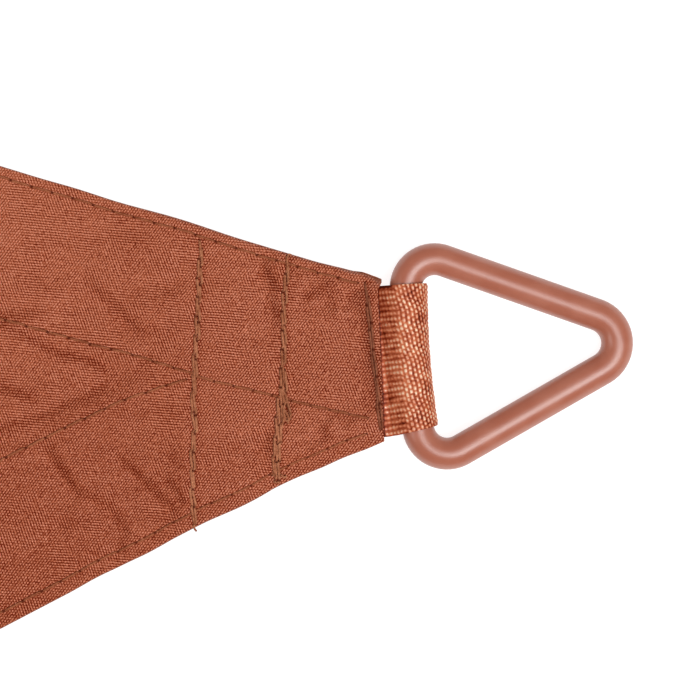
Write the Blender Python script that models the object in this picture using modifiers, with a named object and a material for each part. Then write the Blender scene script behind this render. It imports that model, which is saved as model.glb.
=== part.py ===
"""Triangular shade sail of woven cloth, lying flat with its right side up.

The cloth has three hollow edges with turned hems. Each corner is folded and sewn
round the ends of a webbing loop, and the loop holds a triangular steel ring.

Metres, +Z up. The origin is the sail's three-fold centre, on the surface that the
sail lies on. Corner a points along +X, and corners b and c follow every 120 degrees.
In each corner, s is the distance outward from the cloth's end along the corner's
axis, and t is the distance to the left of that axis.
"""

import math
from collections.abc import Callable
from typing import NamedTuple

import bmesh
import bpy
from mathutils import Matrix, Vector

MM = 0.001

# ---- The sail's plan
SIDE = 3.0                        # between two ring tips
CORNERS = ("a", "b", "c")
CORNER_TURN = math.radians(120)
EDGE_SAG = 0.1025                 # how far an edge is hollowed at its middle
HEM = 30 * MM                     # width of the turned hem
END_LEFT = 16.8 * MM              # the cloth's end, left of the corner's axis
END_RIGHT = 13.0 * MM             # and right of it, before the flare
END_SLANT = 0.0726                # the end is cut a little out of square
END_SLANT_REACH = 8 * MM
END_ROUND_START = 15 * MM         # the end's corners are rounded from this far out
END_ROUND = 144.0                 # in 1/m
LEFT_FLARE = (5 * MM, 0.24)       # reach and slope of the flare of the stitched end
RIGHT_FLARE = (24 * MM, 0.105)

# ---- Thicknesses of the cloth
FIELD = 1.0 * MM
HEM_EXTRA = 0.6 * MM
HEM_STEP = 6 * MM                 # width over which a hem's inner edge steps down
WALL = 0.7 * MM                   # cloth over and under the webbing's ends
GAP = 0.3 * MM                    # clearance between pieces

# ---- Ring, bent from coated wire
WIRE_RADIUS = 3.2 * MM
WIRE_SIDES = 12
RING_BASE_S = 5.8 * MM            # centre line of the bar that the webbing holds
RING_BEND_S = 11.6 * MM           # centres of the two base bends
RING_BEND_T = 13.66 * MM
RING_SHIFT = 0.3 * MM             # the ring sits a little left of the axis
RING_BEND_RADIUS = RING_BEND_S - RING_BASE_S
RING_HALF_APEX = math.radians(24.9)
RING_TIP_BEND_RADIUS = 6.0 * MM
RING_TIP_S = 50.2 * MM            # outermost point of the ring
BASE_BEND_STEPS = 10
TIP_BEND_STEPS = 13               # odd, so that one facet faces the sail squarely

# ---- Webbing loop
PLY = 1.0 * MM                    # one thickness of webbing
LOOP_INNER = WIRE_RADIUS + GAP
LOOP_OUTER = LOOP_INNER + PLY
LOOP_STEPS = 18
TAIL_LEFT = 15.4 * MM             # the webbing's edges in the cloth, left and right
TAIL_RIGHT = 14.7 * MM
LOOP_LEFT = 15.1 * MM             # and at the loop's outside, drawn in by the bar
LOOP_RIGHT = 13.3 * MM
TAIL_LENGTH = 37.7 * MM           # length of the ends in the cloth's corner
TAIL_MOUTH = 1.2 * MM             # where the two plies part
TAIL_STEPS = 8

# ---- Heights in a corner
BAR_Z = LOOP_OUTER                # the loop rests on the surface under the bar
TAIL_FLAT_Z = WALL + GAP + PLY    # middle of the two plies inside the cloth
END_LIFT = BAR_Z - TAIL_FLAT_Z    # the bar's thickness lifts the cloth's end
END_LIFT_REACH = 26 * MM
STACK_TOP = 2 * (WALL + GAP + PLY)
POCKET_LENGTH = TAIL_LENGTH + GAP
POCKET_LEFT = TAIL_LEFT + GAP
POCKET_RIGHT = TAIL_RIGHT + GAP
POCKET_OUT = 4 * MM               # how far the pocket's cutter runs past the end
STACK_SHOULDER = 6 * MM           # side slope of the cloth over the webbing's ends
STACK_RUN_OUT = 9 * MM            # slope past the ends of the webbing

# ---- Grid of the cloth, for one corner's third of the sail
FINE_STEP = 4.5 * MM
FINE_ROWS = 19
COARSE_ROWS = 24
ROW_GROWTH = 1.145
HALF_COLUMNS = 8
MERGE = 0.01 * MM                 # points closer than this become one
SHARP = math.radians(40)          # edges sharper than this aren't shaded smooth

# ---- Loose cloth behind the corner
PILLOW_HEIGHT = 1.8 * MM
PILLOW_START = 42 * MM            # distances from the cloth's end
PILLOW_FULL = 56 * MM
PILLOW_FADE = 130 * MM
PILLOW_END = 420 * MM
PILLOW_EDGE = 16 * MM             # the cloth settles over this width along an edge


class Fold(NamedTuple):
    """A soft trough between two points of a corner, bent through a third. In mm."""

    start: tuple[float, float]
    bend: tuple[float, float]
    end: tuple[float, float]
    half_width: float
    depth: float


FOLDS = {
    "upper_inner":   Fold((-170, 34), (-66, 6), (-54.5, 1.5), 6.0, 1.7),
    "lower_inner":   Fold((-190, -40), (-74, -7), (-54, 0), 6.5, 1.7),
    "left_hem":      Fold((-70, 32), (-52, 18), (-46.5, 8), 4.5, 1.2),
    "right_hem":     Fold((-69.5, -9), (-66, -23), (-53, -31), 5.0, 1.5),
    "right_corner":  Fold((-60, -8), (-51, -18), (-43.5, -26), 5.0, 1.3),
    "inner_row":     Fold((-260, 94), (-120, 36), (-40, 0), 4.0, 0.9),
    "inner_row_low": Fold((-260, -78), (-120, -30), (-40, 0), 4.0, 0.9),
}


FOLD_STEPS = 12                   # straight stretches that a fold's curve is measured by


class Ripple(NamedTuple):
    """A low ridge that runs out of a corner into the field."""

    bearing: float                # degrees left of the corner's axis
    half_angle: float             # degrees
    height: float                 # mm
    start: float                  # mm from the cloth's end
    crest: float
    end: float


RIPPLES = (
    Ripple(9.0, 4.5, 5.0, 90, 330, 900),
    Ripple(-7.5, 4.0, 6.0, 110, 400, 1050),
    Ripple(-19.0, 3.5, 4.0, 140, 420, 980),
)

# The cross rows of sewing dip the cloth over the webbing. In mm: left end, right end.
CROSS_ROWS = {
    "first":  ((-34.0, 27.8), (-40.4, -29.5)),
    "second": ((-16.8, 23.0), (-23.3, -22.4)),
    "third":  ((-1.9, 17.4), (-2.8, -14.7)),
}
CROSS_ROW_HALF_WIDTH = 2.6 * MM
CROSS_ROW_DEPTH = 0.25 * MM

# ---- Derived plan
TIP_RADIUS = SIDE / math.sqrt(3)
CLOTH_END_X = TIP_RADIUS - RING_TIP_S


class Finish(NamedTuple):
    """Colour and surface of one piece."""

    colour: tuple[float, float, float, float]
    roughness: float
    metallic: float


FINISHES = {
    "cloth":   Finish((0.392, 0.107, 0.054, 1.0), 0.85, 0.0),
    "webbing": Finish((0.54, 0.19, 0.10, 1.0), 0.75, 0.0),
    "coating": Finish((0.41, 0.15, 0.10, 1.0), 0.35, 0.2),
}


def smooth_step(value: float) -> float:
    """Ease from 0 to 1 as the value goes from 0 to 1."""
    value = min(1.0, max(0.0, value))
    return value * value * (3 - 2 * value)


def trough(distance: float, half_width: float) -> float:
    """Cross-section of a soft trough: 1 in its middle, 0 from its edge on."""
    return 0.5 + 0.5 * math.cos(math.pi * min(1.0, distance / half_width))


def corner_turn(index: int) -> Matrix:
    """Rotation that carries corner a to another corner."""
    return Matrix.Rotation(index * CORNER_TURN, 4, "Z")


def edge_circle() -> tuple[Vector, float]:
    """Centre and radius of the hollow edge that leaves corner a on its left."""
    start = Vector((CLOTH_END_X, END_LEFT, 0))
    end = corner_turn(1) @ Vector((CLOTH_END_X, -END_RIGHT, 0))
    chord = end - start
    radius = chord.length ** 2 / (8 * EDGE_SAG) + EDGE_SAG / 2
    outward = Vector((-chord.y, chord.x, 0)).normalized() * -1
    return (start + end) / 2 + outward * (radius - EDGE_SAG), radius


LEFT_CENTRE, EDGE_RADIUS = edge_circle()
RIGHT_CENTRE = corner_turn(-1) @ LEFT_CENTRE


def edge_middle(centre: Vector) -> Vector:
    """The point of an edge that lies nearest to the sail's centre."""
    return centre - centre.normalized() * EDGE_RADIUS


def edge_point(side: int, x: float) -> Vector:
    """Point of the left (1) or right (-1) edge at a given x, with the corner's flare."""
    centre = LEFT_CENTRE if side > 0 else RIGHT_CENTRE
    drop = math.sqrt(EDGE_RADIUS ** 2 - (x - centre.x) ** 2)
    reach, slope = LEFT_FLARE if side > 0 else RIGHT_FLARE
    flare = slope * max(0.0, reach - (CLOTH_END_X - x))
    return Vector((x, centre.y - side * drop + side * flare, 0))


def row_distances() -> list[float]:
    """Distances of the grid's rows from the cloth's end, fine at first, then growing."""
    fine = [FINE_STEP * row for row in range(FINE_ROWS)]
    grown = [ROW_GROWTH ** row - 1 for row in range(1, COARSE_ROWS + 1)]
    return fine + [fine[-1] + (CLOTH_END_X - fine[-1]) * size / grown[-1] for size in grown]


def column_share(column: int, half_width: float) -> float:
    """Share of the way from the axis to the edge, with two columns beside the hem's step."""
    if column == HALF_COLUMNS:
        return 1.0
    from_edge = half_width * (HALF_COLUMNS - column) / HALF_COLUMNS
    if column == HALF_COLUMNS - 1:
        from_edge = min(from_edge, HEM - HEM_STEP / 2)
    elif column == HALF_COLUMNS - 2:
        from_edge = min(from_edge, HEM + HEM_STEP / 2)
    else:
        inner = min(2 * half_width / HALF_COLUMNS, HEM + HEM_STEP / 2)
        from_edge = inner + (half_width - inner) * (1 - column / (HALF_COLUMNS - 2))
    return 1 - from_edge / half_width


def plan_point(distance: float, column: int) -> Vector:
    """Place one grid point of corner a's third in the plan."""
    if column == 0:
        return Vector((CLOTH_END_X - distance, 0, 0))
    side = 1 if column > 0 else -1
    middle = edge_middle(LEFT_CENTRE if side > 0 else RIGHT_CENTRE)
    shrink = 1 - (CLOTH_END_X - middle.x) / CLOTH_END_X
    reach = distance * (1 - shrink * (distance / CLOTH_END_X) ** 2)
    axis = Vector((CLOTH_END_X - distance, 0, 0))
    edge = edge_point(side, CLOTH_END_X - reach)
    if distance >= CLOTH_END_X:
        edge, axis = middle, Vector((0, 0, 0))
    point = axis.lerp(edge, column_share(abs(column), (edge - axis).length))
    square = max(0.0, 1 - distance / END_SLANT_REACH)
    rounding = END_ROUND * max(0.0, abs(point.y) - END_ROUND_START) ** 2
    point.x += square * (END_SLANT * point.y - rounding)
    return point


def edge_distance(point: Vector) -> float:
    """How far a point of corner a's third lies inside the nearer edge."""
    centre = LEFT_CENTRE if point.y > 0 else RIGHT_CENTRE
    return max(0.0, (point - centre).length - EDGE_RADIUS)


def fold_path(fold: Fold) -> list[Vector]:
    """Points along a fold, in metres of s and t."""
    start, bend, end = (Vector((s, t)) * MM for s, t in (fold.start, fold.bend, fold.end))
    shares = [step / FOLD_STEPS for step in range(FOLD_STEPS + 1)]
    return [(1 - u) ** 2 * start + 2 * u * (1 - u) * bend + u * u * end for u in shares]


FOLD_PATHS = {name: fold_path(fold) for name, fold in FOLDS.items()}


def path_distance(point: Vector, path: list[Vector]) -> float:
    """Distance from a point to the nearest stretch of a path."""
    best = math.inf
    for start, end in zip(path, path[1:]):
        along = end - start
        share = (point - start).dot(along) / along.length_squared
        nearest = start + along * min(1.0, max(0.0, share))
        best = min(best, (point - nearest).length)
    return best


def fold_depth(point: Vector) -> float:
    """How far the folds press the loose cloth down at a point."""
    depth = 0.0
    for name, fold in FOLDS.items():
        distance = path_distance(point, FOLD_PATHS[name])
        depth = max(depth, fold.depth * MM * trough(distance, fold.half_width * MM))
    return depth


def ripple_height(s: float, t: float) -> float:
    """Height of the low ridges that run out into the field."""
    away = math.hypot(s, t)
    bearing = math.degrees(math.atan2(t, -s))
    height = 0.0
    for ripple in RIPPLES:
        rise = smooth_step((away / MM - ripple.start) / (ripple.crest - ripple.start))
        fall = 1 - smooth_step((away / MM - ripple.crest) / (ripple.end - ripple.crest))
        across = trough(abs(bearing - ripple.bearing), 2 * ripple.half_angle)
        height = max(height, ripple.height * MM * rise * fall * across)
    return height


def underside(point: Vector) -> float:
    """Height of the cloth's underside above the surface."""
    s, t = point.x - CLOTH_END_X, point.y
    lift = END_LIFT * smooth_step((s + END_LIFT_REACH) / END_LIFT_REACH)
    rise = smooth_step((-s - PILLOW_START) / (PILLOW_FULL - PILLOW_START))
    fade = 1 - smooth_step((-s - PILLOW_FADE) / (PILLOW_END - PILLOW_FADE))
    pillow = PILLOW_HEIGHT * rise * fade
    if pillow > 0:
        pillow = max(0.0, pillow - fold_depth(Vector((s, t))))
    settle = smooth_step(edge_distance(point) / PILLOW_EDGE)
    return lift + settle * (pillow + ripple_height(s, t))


def cloth_thickness(point: Vector) -> float:
    """Thickness of the cloth: one layer in the field, more in hems and corners."""
    s, t = point.x - CLOTH_END_X, point.y
    inside = edge_distance(point)
    hem = 1 - smooth_step((inside - HEM + HEM_STEP / 2) / HEM_STEP)
    thickness = FIELD + HEM_EXTRA * hem
    along = smooth_step((s + POCKET_LENGTH + STACK_RUN_OUT) / STACK_RUN_OUT)
    across = 1 - smooth_step((abs(t) - (POCKET_LEFT if t > 0 else POCKET_RIGHT)) / STACK_SHOULDER)
    stack = along * across
    thickness += (STACK_TOP - thickness) * stack
    for left, right in CROSS_ROWS.values():
        row = [Vector(left) * MM, Vector(right) * MM]
        dip = trough(path_distance(Vector((s, t)), row), CROSS_ROW_HALF_WIDTH)
        thickness -= CROSS_ROW_DEPTH * dip
    return thickness


def material(name: str) -> bpy.types.Material:
    """Material with one of the sail's finishes, made once."""
    if name in bpy.data.materials:
        return bpy.data.materials[name]
    finish = FINISHES[name]
    made = bpy.data.materials.new(name)
    made.use_nodes = True
    shader = made.node_tree.nodes["Principled BSDF"]
    shader.inputs["Base Color"].default_value = finish.colour
    shader.inputs["Roughness"].default_value = finish.roughness
    shader.inputs["Metallic"].default_value = finish.metallic
    made.diffuse_color = finish.colour
    return made


def place(name: str, data: bpy.types.Mesh | bpy.types.Curve, collection: bpy.types.Collection,
          placing: Matrix, finish: str | None = None) -> bpy.types.Object:
    """Make an object of a mesh or a curve, in its place and with its finish."""
    piece = bpy.data.objects.new(name, data)
    collection.objects.link(piece)
    piece.matrix_world = placing
    if finish is not None and not data.materials:
        data.materials.append(material(finish))
    return piece


def sail_third(bm: bmesh.types.BMesh, index: int, rows: list[float]) -> None:
    """Add one corner's third of the cloth's underside, with its thickness on each point."""
    before = len(bm.verts)
    row_count, column_count = len(rows) - 1, 2 * HALF_COLUMNS
    bmesh.ops.create_grid(bm, x_segments=row_count, y_segments=column_count, size=1.0)
    bm.verts.ensure_lookup_table()
    layer = bm.verts.layers.float["thickness"]
    turn = corner_turn(index)
    for vert in bm.verts[before:]:
        row = row_count - round((vert.co.x + 1) / 2 * row_count)
        column = round((vert.co.y + 1) / 2 * column_count) - HALF_COLUMNS
        point = plan_point(rows[row], column)
        vert[layer] = cloth_thickness(point)
        vert.co = turn @ (point + Vector((0, 0, underside(point))))


def cloth_mesh() -> bpy.types.Mesh:
    """The cloth's underside as one grid, with its thickness kept on each point."""
    bm = bmesh.new()
    bm.verts.layers.float.new("thickness")
    rows = row_distances()
    for index in range(len(CORNERS)):
        sail_third(bm, index, rows)
    bmesh.ops.remove_doubles(bm, verts=bm.verts, dist=MERGE)
    bmesh.ops.recalc_face_normals(bm, faces=bm.faces)
    if sum(face.normal.z for face in bm.faces) < 0:
        bmesh.ops.reverse_faces(bm, faces=bm.faces)
    mesh = bpy.data.meshes.new("sail_cloth")
    bm.to_mesh(mesh)
    bm.free()
    mesh.shade_smooth()
    mesh.set_sharp_from_angle(angle=SHARP)
    return mesh


def thicken(cloth: bpy.types.Object) -> None:
    """Thicken the cloth upward, by the thickness that each of its points keeps."""
    kept = [item.value for item in cloth.data.attributes["thickness"].data]
    thickest = max(kept)
    group = cloth.vertex_groups.new(name="thickness")
    for vertex, thickness in enumerate(kept):
        group.add([vertex], thickness / thickest, "REPLACE")
    shell = cloth.modifiers.new("thickness", "SOLIDIFY")
    shell.thickness = thickest
    shell.offset = 1.0
    shell.vertex_group = group.name


def tail_middle(s: float) -> float:
    """Height of the middle of the webbing's two plies inside the corner."""
    return TAIL_FLAT_Z + END_LIFT * smooth_step((s + END_LIFT_REACH) / END_LIFT_REACH)


def tail_outline(start: float, end: float, half: float) -> tuple[list, list]:
    """Upper line of the webbing's ends from start to end, and lower line back again."""
    rise = [END_LIFT_REACH * (step / TAIL_STEPS - 1) for step in range(TAIL_STEPS + 1)]
    stations = [start, *rise, end]
    over = [(s, tail_middle(s) + half) for s in stations]
    under = [(s, tail_middle(s) - half) for s in reversed(stations)]
    return over, under


def extruded(name: str, outlines: list[list[tuple[float, float]]],
             edges: Callable[[float], tuple[float, float]]) -> bpy.types.Mesh:
    """Outline in s and z, with holes, carried across the corner between two edges.

    The edges are the distances to the left and to the right of the axis at each s.
    """
    curve = bpy.data.curves.new(name, "CURVE")
    curve.dimensions = "2D"
    curve.fill_mode = "BOTH"
    curve.extrude = MM
    for outline in outlines:
        spline = curve.splines.new("POLY")
        spline.points.add(len(outline) - 1)
        for point, (s, z) in zip(spline.points, outline):
            point.co = (s, z, 0, 1)
        spline.use_cyclic_u = True
    drawn = bpy.data.objects.new(name, curve)
    bpy.context.scene.collection.objects.link(drawn)
    drawn.matrix_world = Matrix.Rotation(math.pi / 2, 4, "X")
    bpy.context.view_layer.update()
    seen = drawn.evaluated_get(bpy.context.evaluated_depsgraph_get())
    mesh = bpy.data.meshes.new_from_object(seen)
    mesh.name = name
    mesh.transform(drawn.matrix_world)
    bpy.data.objects.remove(drawn)
    for vertex in mesh.vertices:
        left, right = edges(vertex.co.x)
        vertex.co.y = left if vertex.co.y > 0 else -right
    bm = bmesh.new()
    bm.from_mesh(mesh)
    bmesh.ops.remove_doubles(bm, verts=bm.verts, dist=MERGE)
    bmesh.ops.recalc_face_normals(bm, faces=bm.faces)
    bm.to_mesh(mesh)
    bm.free()
    return mesh


def pocket_edges(s: float) -> tuple[float, float]:
    """Left and right wall of a corner's pocket, the same all along it."""
    return POCKET_LEFT, POCKET_RIGHT


def webbing_edges(s: float) -> tuple[float, float]:
    """Left and right edge of the webbing, drawn in from the cloth's end outward."""
    drawn_in = min(1.0, max(0.0, s / (RING_BASE_S + LOOP_OUTER)))
    left = TAIL_LEFT + (LOOP_LEFT - TAIL_LEFT) * drawn_in
    right = TAIL_RIGHT + (LOOP_RIGHT - TAIL_RIGHT) * drawn_in
    return left, right


def pocket_mesh() -> bpy.types.Mesh:
    """The space for the webbing's ends in a corner, open at the cloth's end."""
    over, under = tail_outline(-POCKET_LENGTH, POCKET_OUT, PLY + GAP)
    return extruded("pocket", [over + under], pocket_edges)


def cut_pocket(cloth: bpy.types.Object, cutter: bpy.types.Object) -> None:
    """Cut one corner's pocket into the cloth."""
    cutter.hide_render = True
    cutter.display_type = "WIRE"
    cut = cloth.modifiers.new(cutter.name, "BOOLEAN")
    cut.operation = "DIFFERENCE"
    cut.solver = "EXACT"
    cut.object = cutter


def tangent_angle() -> float:
    """Slope at which each ply leaves the stitched ends for the bar."""
    run, rise = RING_BASE_S - TAIL_MOUTH, PLY
    return math.asin(LOOP_OUTER / math.hypot(run, rise)) - math.atan2(rise, run)


def loop_arc(radius: float) -> list[tuple[float, float]]:
    """Arc round the bar, from the upper ply over the outside to the lower ply."""
    start = math.pi / 2 + tangent_angle()
    angles = [start - 2 * start * step / LOOP_STEPS for step in range(LOOP_STEPS + 1)]
    return [(RING_BASE_S + radius * math.cos(a), BAR_Z + radius * math.sin(a)) for a in angles]


def webbing_mesh() -> bpy.types.Mesh:
    """Webbing folded round the bar, with both ends running into the cloth."""
    over, under = tail_outline(-TAIL_LENGTH, TAIL_MOUTH, PLY)
    wedge = (RING_BASE_S - LOOP_INNER / math.sin(tangent_angle()), BAR_Z)
    outline = over + loop_arc(LOOP_OUTER) + under
    mesh = extruded("webbing_loop", [outline, [wedge] + loop_arc(LOOP_INNER)], webbing_edges)
    mesh.shade_smooth()
    mesh.set_sharp_from_angle(angle=SHARP)
    return mesh


def bend(centre: tuple[float, float], radius: float, start: float, turn: float,
         steps: int) -> list[tuple[float, float]]:
    """Points of one bend of the wire, in s and t."""
    angles = [start - turn * step / steps for step in range(steps + 1)]
    return [(centre[0] + radius * math.cos(a), centre[1] + radius * math.sin(a)) for a in angles]


def ring_path() -> list[tuple[float, float]]:
    """Centre line of the ring: two base bends and the tip's bend."""
    base_turn = math.pi / 2 + RING_HALF_APEX
    tip_turn = math.pi - 2 * RING_HALF_APEX
    tip_centre = (RING_TIP_S - WIRE_RADIUS - RING_TIP_BEND_RADIUS, 0.0)
    left = bend((RING_BEND_S, RING_BEND_T), RING_BEND_RADIUS, math.pi, base_turn, BASE_BEND_STEPS)
    tip = bend(tip_centre, RING_TIP_BEND_RADIUS, tip_turn / 2, tip_turn, TIP_BEND_STEPS)
    right = [(s, -t) for s, t in reversed(left)]
    return left + tip + right


def ring_curve() -> bpy.types.Curve:
    """Closed triangle of round wire, with its origin at the middle of its bar."""
    curve = bpy.data.curves.new("ring", "CURVE")
    curve.dimensions = "3D"
    curve.bevel_depth = WIRE_RADIUS
    curve.bevel_resolution = (WIRE_SIDES - 4) // 2
    spline = curve.splines.new("POLY")
    path = ring_path()
    spline.points.add(len(path) - 1)
    for point, (s, t) in zip(spline.points, path):
        point.co = (s - RING_BASE_S, t + RING_SHIFT, 0, 1)
        point.tilt = math.pi / WIRE_SIDES
    spline.use_cyclic_u = True
    spline.use_smooth = True
    return curve


def ring_placing() -> Matrix:
    """Place of ring a: its bar in the webbing, its tip leaning down to the surface."""
    reach = RING_TIP_S - WIRE_RADIUS - RING_BASE_S
    lean = math.asin((BAR_Z - WIRE_RADIUS) / reach)
    return Matrix.Translation((CLOTH_END_X + RING_BASE_S, 0, BAR_Z)) @ Matrix.Rotation(lean, 4, "Y")


def new_collection(name: str) -> bpy.types.Collection:
    """Collection linked to the scene."""
    collection = bpy.data.collections.new(name)
    bpy.context.scene.collection.children.link(collection)
    return collection


def main() -> None:
    """Build the sail."""
    for old in list(bpy.data.objects):
        bpy.data.objects.remove(old)
    sail = new_collection("shade_sail")
    cutters = new_collection("cutters")
    cloth = place("sail_cloth", cloth_mesh(), sail, Matrix(), "cloth")
    thicken(cloth)
    pocket, webbing, ring = pocket_mesh(), webbing_mesh(), ring_curve()
    end = Matrix.Translation((CLOTH_END_X, 0, 0))
    for index, corner in enumerate(CORNERS):
        turn = corner_turn(index)
        cut_pocket(cloth, place(f"pocket_{corner}", pocket, cutters, turn @ end))
        place(f"webbing_loop_{corner}", webbing, sail, turn @ end, "webbing")
        place(f"ring_{corner}", ring, sail, turn @ ring_placing(), "coating")


main()
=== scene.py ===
"""Looks of a triangular shade sail, laid flat and seen from straight above one corner.

Metres, +Z up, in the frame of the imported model: the origin is the sail's three-fold
centre on the surface, corner a points along +X, and corners b and c follow every 120
degrees. In each corner, s is the distance outward from the cloth's end along the
corner's axis, and t is the distance to the left of that axis.
"""

import logging
import math
from collections.abc import Sequence
from dataclasses import dataclass
from enum import Enum

import bmesh
import bpy
import numpy as np
from mathutils import Matrix, Vector
from mathutils.bvhtree import BVHTree


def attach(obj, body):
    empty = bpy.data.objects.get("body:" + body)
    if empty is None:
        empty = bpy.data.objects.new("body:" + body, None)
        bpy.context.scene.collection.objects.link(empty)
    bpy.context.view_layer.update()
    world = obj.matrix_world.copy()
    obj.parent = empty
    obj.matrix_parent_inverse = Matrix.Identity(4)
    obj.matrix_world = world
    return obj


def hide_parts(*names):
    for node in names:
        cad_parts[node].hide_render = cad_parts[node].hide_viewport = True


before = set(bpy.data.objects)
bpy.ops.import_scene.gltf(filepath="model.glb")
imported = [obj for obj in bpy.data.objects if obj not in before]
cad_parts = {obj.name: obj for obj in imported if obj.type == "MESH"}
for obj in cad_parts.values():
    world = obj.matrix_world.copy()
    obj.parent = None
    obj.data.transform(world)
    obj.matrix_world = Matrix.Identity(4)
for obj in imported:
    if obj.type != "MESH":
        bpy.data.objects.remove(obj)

MM = 0.001
BODY = "root"
SHARP = math.radians(40)
KEY_SIDE = (0.74, -0.68)              # where the key light stands, seen from above in s and t
log = logging.getLogger("shade_sail")

Pair = tuple[float, float]
Colour = tuple[float, float, float]
Settings = dict[str, object]
Sockets = dict[int | str, object]


class Corner(Enum):
    """The three corners, in the order in which they follow each other."""

    A = 0
    B = 1
    C = 2

    @property
    def letter(self) -> str:
        """Letter that ends the names of the corner's pieces."""
        return self.name.lower()

    @property
    def turn(self) -> Matrix:
        """Rotation that carries corner a to this corner."""
        return Matrix.Rotation(self.value * math.radians(120), 4, "Z")

    def turned(self, points: np.ndarray) -> np.ndarray:
        """Points of corner a, carried to this corner."""
        return points @ np.array(self.turn.to_3x3()).T


class Side(Enum):
    """The two sides of a corner's axis, seen outward."""

    LEFT = 1
    RIGHT = -1


# ---------------------------------------------------------------- numbers and curves


def smooth_step(value: np.ndarray | float) -> np.ndarray:
    """Ease from 0 to 1 as the value goes from 0 to 1."""
    value = np.clip(value, 0.0, 1.0)
    return value * value * (3 - 2 * value)


def ease(value: np.ndarray | float, start: float, full: float) -> np.ndarray:
    """Ease from 0 to 1 as the value goes from start to full."""
    return smooth_step((value - start) / (full - start))


def trough(distance: np.ndarray, half_width: float) -> np.ndarray:
    """Cross-section of a soft trough: 1 in its middle, 0 from its edge on."""
    return 0.5 + 0.5 * np.cos(np.pi * np.clip(distance / half_width, 0.0, 1.0))


def bent_path(points: Sequence[Pair], steps: int = 12) -> np.ndarray:
    """Points along a fold.

    Args:
        points: Its start and end, or its start, bend and end, in mm of s and t.
        steps: Number of straight stretches.

    Returns:
        Its points in metres of s and t.
    """
    start, bend, end = (np.array(p, float) * MM for p in (points[0], points[len(points) // 2], points[-1]))
    if len(points) == 2:
        bend = (start + end) / 2
    u = np.linspace(0, 1, steps + 1)[:, None]
    return (1 - u) ** 2 * start + 2 * u * (1 - u) * bend + u * u * end


def smooth_path(points: Sequence[Pair], steps: int = 8) -> np.ndarray:
    """Soft curve through points.

    Args:
        points: The points, in mm of s and t.
        steps: Number of straight stretches between two of them.

    Returns:
        Its points in metres of s and t.
    """
    given = np.array(points, float) * MM
    given = np.concatenate([[2 * given[0] - given[1]], given, [2 * given[-1] - given[-2]]])
    u = np.linspace(0, 1, steps + 1)[:, None]
    made = [given[1:2]]
    for before, start, end, after in zip(given, given[1:], given[2:], given[3:]):
        out, back = (end - before) / 2, (after - start) / 2
        bend = (2 * u**3 - 3 * u**2 + 1) * start + (u**3 - 2 * u**2 + u) * out
        made.append((bend + (3 * u**2 - 2 * u**3) * end + (u**3 - u**2) * back)[1:])
    return np.concatenate(made)


@dataclass(frozen=True)
class Nearest:
    """Nearest place on a path, for each of many points."""

    distance: np.ndarray
    along: np.ndarray                 # length along the path
    aside: np.ndarray                 # how far the point lies to the left of the path


def nearest_on_path(s: np.ndarray, t: np.ndarray, path: np.ndarray) -> Nearest:
    """Find the nearest place on a path.

    Args:
        s: The points' distances outward.
        t: The points' distances to the left.
        path: The path's points, in s and t.

    Returns:
        The nearest places.
    """
    best = np.full(s.shape, np.inf)
    along = np.zeros(s.shape)
    aside = np.zeros(s.shape)
    done = 0.0
    for start, end in zip(path, path[1:]):
        run = end - start
        length = float(np.hypot(*run))
        share = np.clip(((s - start[0]) * run[0] + (t - start[1]) * run[1]) / length**2, 0, 1)
        off_s, off_t = s - start[0] - share * run[0], t - start[1] - share * run[1]
        away = np.hypot(off_s, off_t)
        closer = away < best
        best = np.where(closer, away, best)
        along = np.where(closer, done + share * length, along)
        aside = np.where(closer, (run[0] * off_t - run[1] * off_s) / length, aside)
        done += length
    return Nearest(best, along, aside)


def path_length(path: np.ndarray) -> float:
    """Length of a path."""
    return float(np.hypot(*np.diff(path[:, :2], axis=0).T).sum())


# ---------------------------------------------------------------- the sail's plan


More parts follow.
